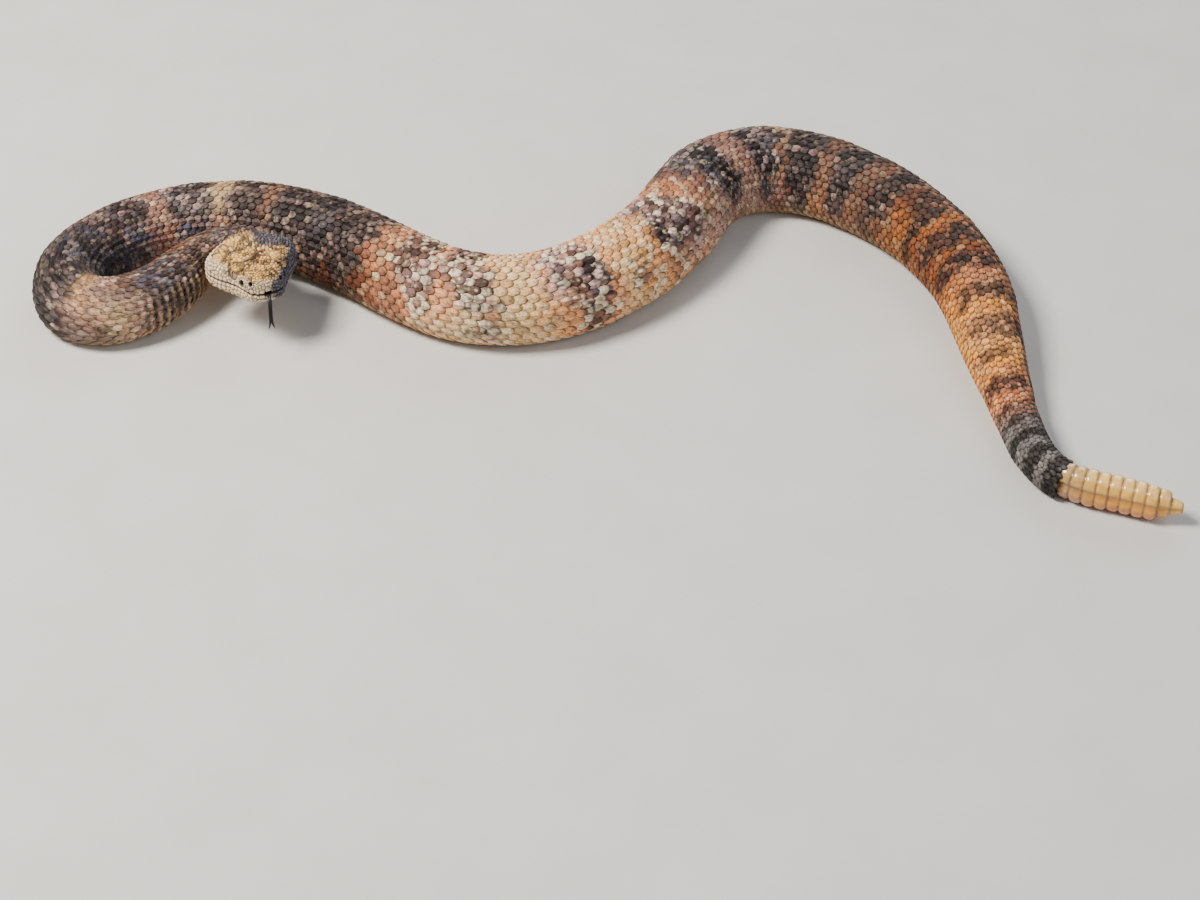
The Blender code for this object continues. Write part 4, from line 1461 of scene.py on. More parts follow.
@dataclass
class HeadScales:
    """Small plates that fill the head cell by cell, each grown up to its neighbours."""

    surface: Surface
    markings: Markings
    spokes: int = 16
    rings: tuple = (0.42, 0.78, 0.94, 1.0)
    samples: int = 15000
    rounds: int = 9
    gap: float = 0.95
    thin: int = 3
    most_added: int = 400
    bare_limit: float = 0.24

    def radius(self, spots: Array) -> Array:
        """Wanted radius of a scale at places on the head.

        Args:
            spots: floor coordinates.

        Returns:
            The radii.
        """
        back, left, up = head_place(spots)
        crown = smoothstep(2.0, 5.0, up)
        size = np.interp(back, (0, 6, 14, 24, 31), (0.5, 0.56, 0.62, 0.74, 0.84))
        cheek = np.interp(back, (0, 8, 18, 31), (0.55, 0.7, 0.92, 0.95))
        chin = np.interp(back, (0, 8, 20, 31), (0.8, 1.0, 1.1, 1.1))
        low = 1 - smoothstep(-3.0, -1.2, up)
        size = cheek * (1 - crown) + size * crown
        return size * (1 - low) + chin * low

    def plates(self) -> tuple:
        """Places, radii and kinds of the plates that have a set place.

        Returns:
            Places, radii and True for the plates of the lips.
        """
        rows = []
        for side in Side:
            for level, start in ((1, 1.35), (-1, 2.0)):
                for back in np.arange(start, MOUTH_CORNER - 0.6, 1.68):
                    up = float(mouth_wave(back)) + 0.95 * level
                    rows.append((back, side * self.side_at(back, up), up, 0.95, 1))
            rows.append((0.1, side * 2.05, 1.05, 0.85, 1))
            rows.append((0.3, side * 2.2, -1.0, 0.85, 1))
            for hole in HOLES:
                ring, count, radius = hole.plate_ring
                for angle in 2 * np.pi * (np.arange(count) + 0.5) / count:
                    back = hole.back + ring * math.cos(angle)
                    up = hole.up + ring * math.sin(angle)
                    if 1.9 < up < 6.4 and back > 0.8:
                        rows.append((back, side * self.side_at(back, up), up, radius, 0))
        rows.append((0.0, 0.0, 1.7, 1.0, 1))
        rows.append((0.25, 0.0, -1.75, 1.0, 1))
        rows = np.array(rows)
        return head_point(rows[:, 0], rows[:, 1], rows[:, 2]), rows[:, 3], rows[:, 4] > 0

    @staticmethod
    def side_at(back: float, up: float) -> float:
        """Half width of the head at a height above or below the mouth."""
        width, above, below, top, bottom = head_shape(back)
        reach, shape = (above, top) if up > 0 else (below, bottom)
        return float(0.5 * width * max(0.0, 1 - (abs(up) / reach) ** shape) ** (1 / shape))

    def blocked(self, spots: Array) -> Array:
        """Where no free scale may sit: eyes, pits, nostrils, brows and lips.

        Args:
            spots: floor coordinates.

        Returns:
            True where it is blocked.
        """
        back, left, up = head_place(spots)
        side = np.abs(left)
        stop = near_holes(spots, "keep_off") | on_brow(back, side, up, 0.1)
        stop |= (back < 3.2) & (side < 1.7) & (np.abs(up) < 1.35)
        line = up - mouth_wave(back)
        stop |= (line > -2.1) & (line < 2.25) & (back < MOUTH_CORNER - 0.2)
        return stop | ((back < 0.5) & (up < 2.9))

    def open_ground(self, spots: Array) -> Array:
        """Where scales must cover the skin: all but holes, brows and the mouth.

        Args:
            spots: floor coordinates.

        Returns:
            True where it is open.
        """
        back, left, up = head_place(spots)
        side = np.abs(left)
        stop = near_holes(spots, "open_within") | on_brow(back, side, up, 0.0)
        stop |= np.hypot(back - PIT.back, up - PIT.up) < PIT.open_within
        stop |= (back < 3.2) & (side < 1.6) & (np.abs(up) < 1.25)
        stop |= (np.abs(up - mouth_wave(back)) < 0.4) & (back < MOUTH_CORNER)
        return ~stop & (back < HEAD_LENGTH)

    def scatter(self) -> tuple:
        """Spread the scales evenly over the head.

        Returns:
            Places, radii and whether each is a plate of the lips.
        """
        grid = self.surface.spots[self.surface.marks < 2.5]
        along = np.linalg.norm(np.gradient(grid, axis=0), axis=2)
        around = np.linalg.norm(grid - np.roll(grid, 1, axis=1), axis=2)
        spots = grid.reshape(-1, 3)
        fixed, fixed_radius, fixed_lip = self.plates()
        weight = (along * around).ravel() / self.radius(spots) ** 2
        weight[self.blocked(spots)] = 0.0
        count = int(weight.sum() / (2 * math.sqrt(3)) * 1.02)
        rng = np.random.default_rng(SEED + 7)
        picks = rng.choice(len(spots), self.samples, p=weight / weight.sum())
        cloud = spots[picks] + rng.normal(scale=0.05, size=(self.samples, 3))
        seeds = cloud[rng.choice(self.samples, count, replace=False)]
        for _ in range(self.rounds):
            everyone = np.concatenate([seeds, fixed])
            gaps = (cloud**2).sum(1)[:, None] - 2 * cloud @ everyone.T + (everyone**2).sum(1)
            owner = gaps.argmin(axis=1)
            share = np.bincount(owner, minlength=len(everyone))[:count]
            for axis in range(3):
                total = np.bincount(owner, cloud[:, axis], minlength=len(everyone))[:count]
                seeds[:, axis] = np.where(share > 0, total / np.maximum(share, 1), seeds[:, axis])
        everyone = np.concatenate([seeds, fixed])
        radii = np.concatenate([self.radius(seeds), fixed_radius])
        is_lip = np.concatenate([np.zeros(count, bool), fixed_lip])
        return self.fill(everyone, radii, is_lip, spots[self.open_ground(spots)])

    def fill(self, seeds: Array, radii: Array, is_lip: Array, ground: Array) -> tuple:
        """Add small scales wherever bare ground is left between the others.

        Args:
            seeds: places of the scales so far.
            radii: their radii.
            is_lip: True for plates of the lips.
            ground: places that have to be covered.

        Returns:
            Places, radii and lip marks with the small scales added.
        """
        ground = ground[:: self.thin]
        bare = np.full(len(ground), 9.0)
        for start in range(0, len(seeds), 200):
            part = slice(start, start + 200)
            away = np.linalg.norm(ground[:, None] - seeds[None, part], axis=2)
            bare = np.minimum(bare, (away - 1.12 * radii[None, part]).min(axis=1))
        for _ in range(self.most_added):
            worst = int(bare.argmax())
            if bare[worst] < self.bare_limit:
                break
            size = float(np.clip(bare[worst] * 1.15, 0.3, 0.6))
            seeds = np.concatenate([seeds, ground[worst][None]])
            radii = np.append(radii, size)
            is_lip = np.append(is_lip, False)
            away = np.linalg.norm(ground - ground[worst], axis=1)
            bare = np.minimum(bare, away - 1.12 * size)
        LOG.info("head: %d scales", len(seeds))
        return seeds, radii, is_lip

    def colour(self, ground: Array, back: Array, chance: Array) -> Array:
        """Colour the points of the scales, with the neck's markings at the rear.

        Args:
            ground: places of the points.
            back: way back of each scale.
            chance: three random numbers for each point.

        Returns:
            Rows of linear colour.
        """
        along, left, up = head_place(ground)
        share = np.arctan2(left, up) / (2 * np.pi)
        body = self.markings.body(along - HEAD_LENGTH, share, chance)
        neck = smoothstep(-5.0, 1.0, back - HEAD_LENGTH)
        return blend(self.markings.head(ground, chance), body, neck[:, None])

    def build(self, material: Material) -> list:
        """Make the scales of the head and of the lower jaw.

        Args:
            material: finish of the scales.

        Returns:
            Both pieces.
        """
        seeds, radii, is_lip = self.scatter()
        ground = Ground(self.surface)
        cells = Cells(*ground.settle(seeds), radii, is_lip)
        turn = 2 * np.pi * np.arange(self.spokes) / self.spokes
        lap = smoothstep(13.0, 22.0, cells.back) * (~is_lip)
        reach = cells.reach(turn) * self.gap
        reach = reach * (1 + 0.28 * lap[:, None] * np.maximum(np.cos(turn), 0) ** 2)
        luck = np.random.default_rng(SEED + 8).random((len(seeds), 3))
        height = np.where(is_lip, 0.3, 0.26 + 0.3 * (radii - 0.5)) * (0.85 + 0.3 * luck[:, 2])
        ring_at = np.concatenate([[0.0], np.repeat(self.rings, self.spokes)])
        angle = np.concatenate([[0.0], np.tile(turn, len(self.rings))])
        far = np.concatenate([reach[:, :1], np.tile(reach, len(self.rings))], axis=1) * ring_at
        x, y = far * np.cos(angle), far * np.sin(angle)
        wanted = cells.places[:, None, :] + cells.tail[:, None, :] * x[..., None]
        bed, normal = ground.settle(wanted + cells.over[:, None, :] * y[..., None])
        normal = unit(0.45 * normal + 0.55 * cells.ways[:, None, :])
        rise = height[:, None] * (1 - ring_at**2.6) ** 0.75 - 0.3
        slant = 0.16 * lap[:, None] * x / np.maximum(radii[:, None], 0.1)
        crest = hump(y, 0.24 * radii[:, None]) * lap[:, None] * (ring_at < 0.97)
        spots = bed + normal * (rise + slant + 0.12 * crest)[..., None]
        tint = self.colour(bed, cells.back, np.repeat(luck[:, None, :], len(ring_at), axis=1))
        relief = pack_relief(rise.shape, smoothstep(0.6, 1.0, ring_at), 0.5, crest)
        across = 0.5 + np.arctan2(cells.left, cells.up + 1e-6) / (2 * np.pi) * 0.96
        spread = 0.0015 * (ring_at * np.array([np.cos(angle), np.sin(angle)])).T
        spread = np.stack([(cells.back + 2) / 36, across], axis=-1)[:, None, :] + spread
        faces = Faces.button(len(self.rings), self.spokes)
        upper = cells.line > 0
        return [
            Patchwork.of_copies(
                faces, spots[own], tint[own], relief[own], spread[own]
            ).build(name, material)
            for name, own in (("head_scales", upper), ("jaw_scales", ~upper))
        ]


@dataclass
class Rattle:
    """The rattle: lobed rings of horn, grooved between and along the sides."""

    heights: tuple = (
        (0, 12.0), (1, 12.7), (4, 12.9), (7, 12.2), (8, 11.0), (8.8, 8.8), (9.3, 5.6), (10, 3.2)
    )
    flatness: float = 0.74
    waist: float = 0.84
    steps: int = 14
    sides: int = 56
    rounding: float = 2.5
    groove_at: float = 0.1
    middle: float = 0.96
    below: tuple = (206, 126, 34)
    upper: tuple = (232, 180, 78)
    # colour of the painted highlight on the top of the horn
    top: tuple = (240, 204, 130)
    young: tuple = (150, 126, 96)
    old: tuple = (232, 188, 96)

    def build(self, material: Material) -> Object:
        """Make the rattle.

        Args:
            material: finish of the horn.

        Returns:
            The piece.
        """
        pitch = RATTLE_LENGTH / RATTLE_SEGMENTS
        rng = np.random.default_rng(SEED + 9)
        nudge = rng.normal(size=(RATTLE_SEGMENTS, 3))
        turn = np.linspace(0, 2 * np.pi, self.sides, endpoint=False)
        rings, tints, reliefs = [], [], []
        for segment in range(RATTLE_SEGMENTS):
            for step in range(self.steps):
                part = step / self.steps
                rings.append(self.ring(segment, part, pitch, turn, nudge[segment]))
                tint, relief = self.colour(segment, part, turn)
                tints.append(tint)
                reliefs.append(relief)
        tip = rings[-1].mean(axis=0)
        ends = route_at(np.array([TAIL_END, TAIL_END + 30]))[0]
        way = unit(ends[1] - ends[0])
        for size, ahead in ((0.8, 0.25), (0.45, 0.42), (0.12, 0.5)):
            rings.append(tip + (rings[-1] - rings[-1].mean(axis=0)) * size + way * ahead)
            tints.append(tints[-1])
            reliefs.append(reliefs[-1])
        return Loft(np.array(rings), np.array(tints), np.array(reliefs)).build("horn", material)

    def ring(self, segment: int, part: float, pitch: float, turn: Array, nudge: Array) -> Array:
        """Place one ring of the rattle.

        Args:
            segment: which segment of horn it is on.
            part: place along the segment, 0 to 1.
            pitch: length of a segment.
            turn: angles of the ring's points.
            nudge: small random differences of the segment.

        Returns:
            The points.
        """
        full = float(look_up(self.heights, segment + 0.5 + 0.6 * (part - 0.5)))
        from_middle = abs(2 * part - self.middle)
        swell = (1 - from_middle**2.8) ** 0.55 if from_middle < 1 else 0.0
        height = full * (self.waist + (1 - self.waist) * swell) * (1 + 0.012 * nudge[0])
        half = 0.5 * height
        across = self.flatness * half * curl(np.sin(turn), self.rounding)
        up = half * curl(np.cos(turn), self.rounding)
        groove = hump(up / half - self.groove_at, 0.17)
        across = across * (1 - 0.3 * groove * (0.35 + 0.65 * swell))
        low = max(RATTLE_AXIS_Z - half, 0.0)
        place, heading = route_at(TAIL_END + 0.1 + pitch * (segment + part))
        right = level_way(heading - math.pi / 2)
        ring = place + right * (across + 0.1 * nudge[1])[:, None]
        ring[:, 2] = np.maximum(low + half + up, 0.02)
        return ring

    def colour(self, segment: int, part: float, turn: Array) -> tuple:
        """Colour and relief of one ring of the rattle.

        Args:
            segment: which segment of horn it is on.
            part: place along the segment, 0 to 1.
            turn: angles of the ring's points.

        Returns:
            Colours and relief values.
        """
        youth = float(np.interp(segment + part, (0, 1.2, 3.0), (1.0, 0.8, 0.0)))
        age = float(np.interp(segment + part, (8, 9.4), (0.0, 0.6)))
        height = np.cos(turn)
        # Deeper amber low down and paler towards the top; the pale top is a painted highlight.
        tint = blend(srgb(*self.below), srgb(*self.upper), smoothstep(-0.6, 0.5, height))
        tint = blend(tint, srgb(*self.top), 0.6 * smoothstep(0.5, 0.95, height))
        tint = blend(tint, srgb(*self.young), 0.7 * youth)
        tint = blend(tint, srgb(*self.old), age)
        depth = float(np.clip(abs(2 * part - self.middle) - 0.62, 0, 0.38) / 0.38)
        groove = hump(height - self.groove_at, 0.14)
        return tint, pack_relief(turn.shape, depth, part, groove)


@dataclass
class Tongue:
    """The forked tongue: two strands side by side that part at the fork."""

    steps: int = 46
    sides: int = 12
    thickness: tuple = (0.44, 0.3)
    fork_at: float = 0.84
    stem_spread: float = 0.26
    fork_spread: float = 0.9
    black: tuple = (9, 8, 10)

    def middle(self, along: Array) -> Array:
        """Middle line of the tongue, eased through its route.

        Args:
            along: places along it, 0 to 1.

        Returns:
            Floor coordinates.
        """
        route = np.array(TONGUE_ROUTE)
        marks = np.linspace(0, 1, len(route))
        spread = np.linspace(-0.07, 0.07, 7)
        where = np.clip(along[:, None], 0, 1) + spread * np.minimum(
            1, np.minimum(along, 1 - along)[:, None] / 0.07
        )
        forward, left, up = (np.interp(where, marks, route[:, i]).mean(1) for i in range(3))
        return head_point(-forward, left, up)

    def build(self, material: Material) -> Object:
        """Make the tongue.

        Args:
            material: finish of the tongue.

        Returns:
            The piece.
        """
        along = np.linspace(0, 1, self.steps + 1)
        middle = self.middle(along)
        over = unit(np.cross(LEFT, unit(np.gradient(middle, axis=0))))
        turn = np.linspace(0, 2 * np.pi, self.sides, endpoint=False)
        flat, thick = self.thickness
        ring = flat * np.cos(turn)[:, None] * LEFT
        ring = ring + thick * np.sin(turn)[:, None] * over[:, None, :]
        fork = np.clip((along - self.fork_at) / (1 - self.fork_at), 0, 1)
        size = (1 - 0.82 * fork**1.5) * np.where(along > 0.995, 0.2, 1.0)
        pieces = []
        for side in Side:
            offset = side * (self.stem_spread + self.fork_spread * fork**1.3)
            centre = middle + LEFT * offset[:, None]
            pieces.append(centre[:, None, :] + ring * size[:, None, None])
        shade = np.tile(srgb(*self.black), (self.steps + 1, self.sides, 1))
        blank = np.zeros(shade.shape)
        things = [
            Loft(rings[:, ::-1], shade, blank).build(name, material)
            for rings, name in zip(pieces, ("tongue_strands", "strand"))
        ]
        return join(things)


def deselect() -> None:
    """Leave nothing selected."""
    for thing in bpy.context.selected_objects:
        thing.select_set(False)


def join(things: list) -> Object:
    """Join several pieces into the first of them.

    Args:
        things: the pieces.

    Returns:
        The first piece, with all the others in it.
    """
    deselect()
    for thing in things:
        thing.select_set(True)
    bpy.context.view_layer.objects.active = things[0]
    bpy.ops.object.join()
    return things[0]


@dataclass
class Eye:
    """An eyeball with a slit pupil, set deep under its brow."""

    side: Side
    segments: int = 64
    rings: int = 40

    def build(self, material: Material) -> Object:
        """Make the eyeball and its map of the iris.

        Args:
            material: finish of the eye.

        Returns:
            The piece.
        """
        deselect()
        name = f"eyeball_{self.side.label}"
        out = head_side(EYE_BACK, EYE_UP) - EYE_INSET
        centre = head_point(EYE_BACK, self.side * out, EYE_UP)
        bpy.ops.mesh.primitive_uv_sphere_add(
            segments=self.segments, ring_count=self.rings, radius=EYE_RADIUS * MM
        )
        eye = bpy.context.object
        eye.name = name
        eye.data.name = name
        axis = unit(self.side * LEFT * 0.84 + FORWARD * 0.46 + np.array([0, 0, 0.26]))
        upright = unit(np.array([0, 0, 1.0]) - axis[2] * axis)
        across = np.cross(upright, axis)
        spots = np.array([vertex.co for vertex in eye.data.vertices])
        turned = spots @ np.array([across, upright, axis]) + centre * MM
        eye.data.vertices.foreach_set("co", turned.astype(np.float32).ravel())
        plane = eye.data.uv_layers.new(name="IrisPlane")
        corners = np.array([loop.vertex_index for loop in eye.data.loops])
        flat = spots[corners][:, :2] / (EYE_RADIUS * MM) * 0.5 + 0.5
        plane.data.foreach_set("uv", flat.astype(np.float32).ravel())
        eye.data.update()
        eye.data.shade_smooth()
        eye.data.materials.append(material)
        LOG.info("%s: made", name)
        return eye


@dataclass
class Brow:
    """The plate that roofs one eye, cut by sutures into a large and some small ones."""

    side: Side
    markings: Markings
    spokes: int = 80
    levels: int = 26
    sutures: tuple = (
        (-1.6, -0.5), (0.4, -0.7), (2.2, -0.2), (-0.4, 1.1), (1.4, 1.2), (-2.2, 0.9),
        (2.9, 0.9), (-3.2, 0.1), (3.6, -0.6), (0.6, 2.2), (-1.2, 2.2), (2.1, 2.0),
    )

    def build(self, material: Material) -> Object:
        """Make the plate, a low dome with a blunt rim over a flat underside.

        Args:
            material: finish of the plate.

        Returns:
            The piece.
        """
        turn = np.linspace(0, 2 * np.pi, self.spokes, endpoint=False)
        ahead = level_way(HEAD_YAW + self.side * math.radians(BROW_TURN))
        out = self.side * np.array([-ahead[1], ahead[0], 0.0])
        centre = head_point(BROW_BACK, self.side * BROW_SPREAD, BROW_UP)
        rings, tints, reliefs = [], [], []
        cloud = Cloud(SEED + 13 + self.side)
        chances = np.random.default_rng(SEED + 14 + self.side).random((len(self.sutures), 3))
        shares = np.sin(np.linspace(0.02, 1.0, self.levels) * np.pi / 2)
        for share, face in [(r, 1) for r in shares] + [(r, -1) for r in shares[::-3]]:
            edge = 1 + 0.16 * share**2 * (cloud(3 * np.cos(turn), 3 * np.sin(turn), 7.5) - 0.5)
            long = BROW_SIZE[0] * share * edge * np.cos(turn) * (1 - 0.12 * np.cos(turn))
            wide = BROW_SIZE[1] * share * edge * np.sin(turn) * (1 + 0.16 * np.cos(turn))
            cell, groove = self.cells(long, wide)
            dome = math.sqrt(max(0.0, 1 - share**3.6))
            high = BROW_SIZE[2] * dome * (0.8 if face > 0 else -0.8)
            slope = -math.tan(math.radians(BROW_TILT)) * wide
            ring = centre + ahead * long[:, None] + out * wide[:, None]
            rough = 0.3 * (cloud(long / 0.4, wide / 0.4, 2.5) - 0.5) - 0.6 * groove
            ring[:, 2] = centre[2] + high + slope - 0.05 + rough * (face > 0) * (1 - share**8)
            rings.append(ring)
            luck = 0.2 + 0.55 * chances[cell]
            luck[:, 1] = 0.4 * luck[:, 1] + 0.5 * cloud(long / 0.6, wide / 0.6, 9.5)
            tint = self.markings.head(ring, luck) * (0.75 + 0.5 * chances[cell][:, 2:])
            tint = blend(tint, Tone.UMBER, 0.6 * groove)
            outer = smoothstep(0.2, 1.0, wide / BROW_SIZE[1]) * share**4
            tints.append(blend(tint, Tone.UMBER, 0.45 * outer))
            reliefs.append(pack_relief(turn.shape, np.maximum(groove, share**10), 0.5, 0.0))
        order = slice(None, None, -1) if self.side > 0 else slice(None)
        loft = Loft(np.array(rings)[:, order], np.array(tints)[:, order], np.array(reliefs))
        return loft.build(f"brow_{self.side.label}", material)

    def cells(self, long: Array, wide: Array) -> tuple:
        """Which small plate each place belongs to, and how deep in a suture it is.

        Args:
            long: way ahead from the middle.
            wide: way out from the middle.

        Returns:
            Numbers of the plates, and depths from 0 to 1.
        """
        middles = np.array(self.sutures)
        gaps = np.hypot(long[:, None] - middles[:, 0], wide[:, None] - middles[:, 1])
        order = np.sort(gaps, axis=1)
        return gaps.argmin(axis=1), hump(order[:, 1] - order[:, 0], 0.2)


class Nodes:
    """Short calls for building a material's nodes."""

    def __init__(self, name: str) -> None:
        """Start a material with its Principled shader.

        Args:
            name: name of the material.
        """
        self.material = bpy.data.materials.new(name)
        self.material.use_nodes = True
        self.tree = self.material.node_tree
        self.shader = self.tree.nodes["Principled BSDF"]

    def add(self, kind: str, **settings: object) -> bpy.types.Node:
        """Add a node and set its properties.

        Args:
            kind: type of the node.
            settings: its properties.

        Returns:
            The node.
        """
        node = self.tree.nodes.new(kind)
        for key, value in settings.items():
            setattr(node, key, value)
        return node

    def link(self, source: Socket, target: Socket) -> None:
        """Join an output to an input."""
        self.tree.links.new(source, target)

    def attribute(self, name: str) -> bpy.types.Node:
        """Read an attribute of the mesh."""
        return self.add("ShaderNodeAttribute", attribute_name=name)

    def relief(self) -> bpy.types.Node:
        """Split the mesh's relief: rim in red, place along in green, keel in blue."""
        node = self.add("ShaderNodeSeparateColor")
        self.link(self.attribute("Relief").outputs["Color"], node.inputs["Color"])
        return node

    def grey(self, value: Socket) -> Socket:
        """Turn a number into a grey colour.

        Args:
            value: the number.

        Returns:
            The colour.
        """
        node = self.add("ShaderNodeCombineColor")
        for slot in node.inputs[:3]:
            self.link(value, slot)
        return node.outputs["Color"]

    def noise(self, scale: float, detail: float = 3.0, rough: float = 0.55) -> bpy.types.Node:
        """Noise in object coordinates, with `scale` in features to the metre.

        Args:
            scale: features to the metre.
            detail: octaves.
            rough: weight of the finer octaves.

        Returns:
            The node.
        """
        where = self.add("ShaderNodeTexCoord")
        node = self.add("ShaderNodeTexNoise")
        node.inputs["Scale"].default_value = scale
        node.inputs["Detail"].default_value = detail
        node.inputs["Roughness"].default_value = rough
        self.link(where.outputs["Object"], node.inputs["Vector"])
        return node

    def span(self, source: Socket, low: float, high: float,
             to_low: float = 0.0, to_high: float = 1.0) -> Socket:
        """Map a range of values to another, clamped.

        Args:
            source: the value.
            low: start of its range.
            high: end of its range.
            to_low: result at the start.
            to_high: result at the end.

        Returns:
            The result.
        """
        node = self.add("ShaderNodeMapRange")
        node.inputs["From Min"].default_value = low
        node.inputs["From Max"].default_value = high
        node.inputs["To Min"].default_value = to_low
        node.inputs["To Max"].default_value = to_high
        self.link(source, node.inputs["Value"])
        return node.outputs["Result"]

    def math(self, operation: str, first: object, second: object = None) -> Socket:
        """Do one step of arithmetic on sockets or numbers.

        Args:
            operation: name of the step.
            first: first socket or number.
            second: second socket or number, if any.

        Returns:
            The result.
        """
        node = self.add("ShaderNodeMath", operation=operation)
        for value, slot in zip((first, second), node.inputs):
            if isinstance(value, Socket):
                self.link(value, slot)
            elif value is not None:
                slot.default_value = value
        return node.outputs[0]

    def mix(self, share: object, first: object, second: object, kind: str = "MIX") -> Socket:
        """Mix two colours.

        Args:
            share: how much of the second colour.
            first: first colour.
            second: second colour.
            kind: how they mix.

        Returns:
            The colour.
        """
        node = self.add("ShaderNodeMix", data_type="RGBA", blend_type=kind)
        for value, slot in ((share, node.inputs[0]), (first, node.inputs[6]),
                            (second, node.inputs[7])):
            if isinstance(value, Socket):
                self.link(value, slot)
            elif isinstance(value, (int, float)):
                slot.default_value = value
            else:
                slot.default_value = (*value, 1.0)
        return node.outputs[2]

    def speckle_and_shade(self, share: object, colour: Socket, filter_by: tuple) -> Socket:
        """Mix in the colour as seen through a filter, for speckles and for painted shade."""
        return self.mix(share, colour, self.mix(1.0, colour, filter_by, "MULTIPLY"))

    def bump(self, height: Socket, strength: float, distance: float) -> None:
        """Bump the surface by a height.

        Args:
            height: the height, 0 to 1.
            strength: how strong it is.
            distance: height in metres that 1 stands for.
        """
        node = self.add("ShaderNodeBump")
        node.inputs["Strength"].default_value = strength
        node.inputs["Distance"].default_value = distance
        self.link(height, node.inputs["Height"])
        self.link(node.outputs["Normal"], self.shader.inputs["Normal"])

    def set(self, **values: float) -> None:
        """Set plain numbers on the shader."""
        for key, value in values.items():
            self.shader.inputs[key.replace("_", " ")].default_value = value


@dataclass(frozen=True)
class ScaleFinish:
    """Dry keratin over pigment: painted shade at the rims, a painted highlight along the keel,
    and fine speckles.
    """

    name: str
    rim: float = 0.85
    speckle: float = 0.6
    roughness: float = 0.56

    def make(self) -> Material:
        """Make the material.

        Returns:
            The material.
        """
        nodes = Nodes(self.name)
        tint = nodes.attribute("Tint").outputs["Color"]
        relief = nodes.relief()
        rim, keel = relief.outputs["Red"], relief.outputs["Blue"]
        fine = nodes.noise(1500.0, 4.0, 0.65).outputs["Fac"]
        dots = nodes.noise(3600.0, 2.0, 0.5).outputs["Fac"]
        shade = nodes.span(fine, 0.3, 0.7, 0.6, 1.3)
        colour = nodes.mix(1.0, tint, nodes.grey(shade), "MULTIPLY")
        spot = nodes.math("MULTIPLY", nodes.span(dots, 0.56, 0.66), self.speckle)
        colour = nodes.speckle_and_shade(spot, colour, (0.3, 0.26, 0.25))
        # Painted shade at the rims of the scales.
        edge = nodes.math("MULTIPLY", nodes.math("POWER", rim, 1.15), self.rim)
        colour = nodes.speckle_and_shade(edge, colour, (0.25, 0.2, 0.19))
        # A painted highlight along the keel.
        crest = nodes.math("MULTIPLY", keel, 0.05)
        colour = nodes.mix(crest, colour, nodes.mix(0.5, colour, (0.86, 0.78, 0.68)))
        nodes.link(colour, nodes.shader.inputs["Base Color"])
        rough = nodes.span(fine, 0.3, 0.7, self.roughness - 0.08, self.roughness + 0.14)
        nodes.link(rough, nodes.shader.inputs["Roughness"])
        nodes.set(Specular_IOR_Level=0.24)
        nodes.bump(fine, 0.35, 0.00012)
        return nodes.material


@dataclass(frozen=True)
class HornFinish:
    """Amber horn, glossy and a little translucent, with painted shade in its grooves."""

    name: str

    def make(self) -> Material:
        """Make the material.

        Returns:
            The material.
        """
        nodes = Nodes(self.name)
        tint = nodes.attribute("Tint").outputs["Color"]
        relief = nodes.relief()
        depth, side = relief.outputs["Red"], relief.outputs["Blue"]
        cloud = nodes.noise(420.0, 4.0, 0.6).outputs["Fac"]
        fine = nodes.noise(1900.0, 3.0, 0.6).outputs["Fac"]
        shade = nodes.grey(nodes.span(cloud, 0.3, 0.7, 0.78, 1.18))
        colour = nodes.mix(1.0, tint, shade, "MULTIPLY")
        # Painted shade in the grooves between the segments and along the sides.
        groove_shade = nodes.math("MULTIPLY", nodes.math("POWER", depth, 1.2), 0.95)
        colour = nodes.speckle_and_shade(groove_shade, colour, (0.34, 0.2, 0.11))
        colour = nodes.speckle_and_shade(nodes.math("MULTIPLY", side, 0.35), colour, (0.5, 0.34, 0.2))
        nodes.link(colour, nodes.shader.inputs["Base Color"])
        rough = nodes.span(fine, 0.3, 0.7, 0.13, 0.28)
        nodes.link(rough, nodes.shader.inputs["Roughness"])
        nodes.set(Subsurface_Weight=0.25, Subsurface_Scale=0.002, Coat_Weight=0.6,
                  Coat_Roughness=0.12, Specular_IOR_Level=0.55)
        nodes.shader.inputs["Subsurface Radius"].default_value = (1.0, 0.55, 0.25)
        nodes.bump(fine, 0.25, 0.00015)
        return nodes.material


@dataclass(frozen=True)
class EyeFinish:
    """A speckled golden iris round an upright slit, under a clear coat."""

    name: str

    def make(self) -> Material:
        """Make the material.

        Returns:
            The material.
        """
        nodes = Nodes(self.name)
        plane = nodes.add("ShaderNodeUVMap", uv_map="IrisPlane")
        parts = nodes.add("ShaderNodeSeparateXYZ")
        nodes.link(plane.outputs["UV"], parts.inputs["Vector"])
        x, y = (
            nodes.math("MULTIPLY", nodes.math("SUBTRACT", parts.outputs[axis], 0.5), 2.0)
            for axis in "XY"
        )
        wide = nodes.math("POWER", nodes.math("DIVIDE", x, 0.12), 2.0)
        tall = nodes.math("POWER", nodes.math("DIVIDE", y, 0.6), 2.0)
        slit = nodes.span(nodes.math("ADD", wide, tall), 0.8, 1.15, 1.0, 0.0)
        far = nodes.math("ADD", nodes.math("POWER", x, 2.0), nodes.math("POWER", y, 2.0))
        cloud = nodes.noise(2600.0, 4.0, 0.7).outputs["Fac"]
        iris = nodes.mix(nodes.span(cloud, 0.4, 0.62), tuple(srgb(196, 160, 104)),
                         tuple(srgb(92, 68, 46)))
        iris = nodes.mix(nodes.span(far, 0.72, 0.98), iris, tuple(srgb(52, 40, 30)))
        colour = nodes.mix(slit, iris, (0.004, 0.004, 0.004))
        nodes.link(colour, nodes.shader.inputs["Base Color"])
        nodes.set(Roughness=0.12, Coat_Weight=1.0, Coat_Roughness=0.03, Specular_IOR_Level=0.6)
        return nodes.material


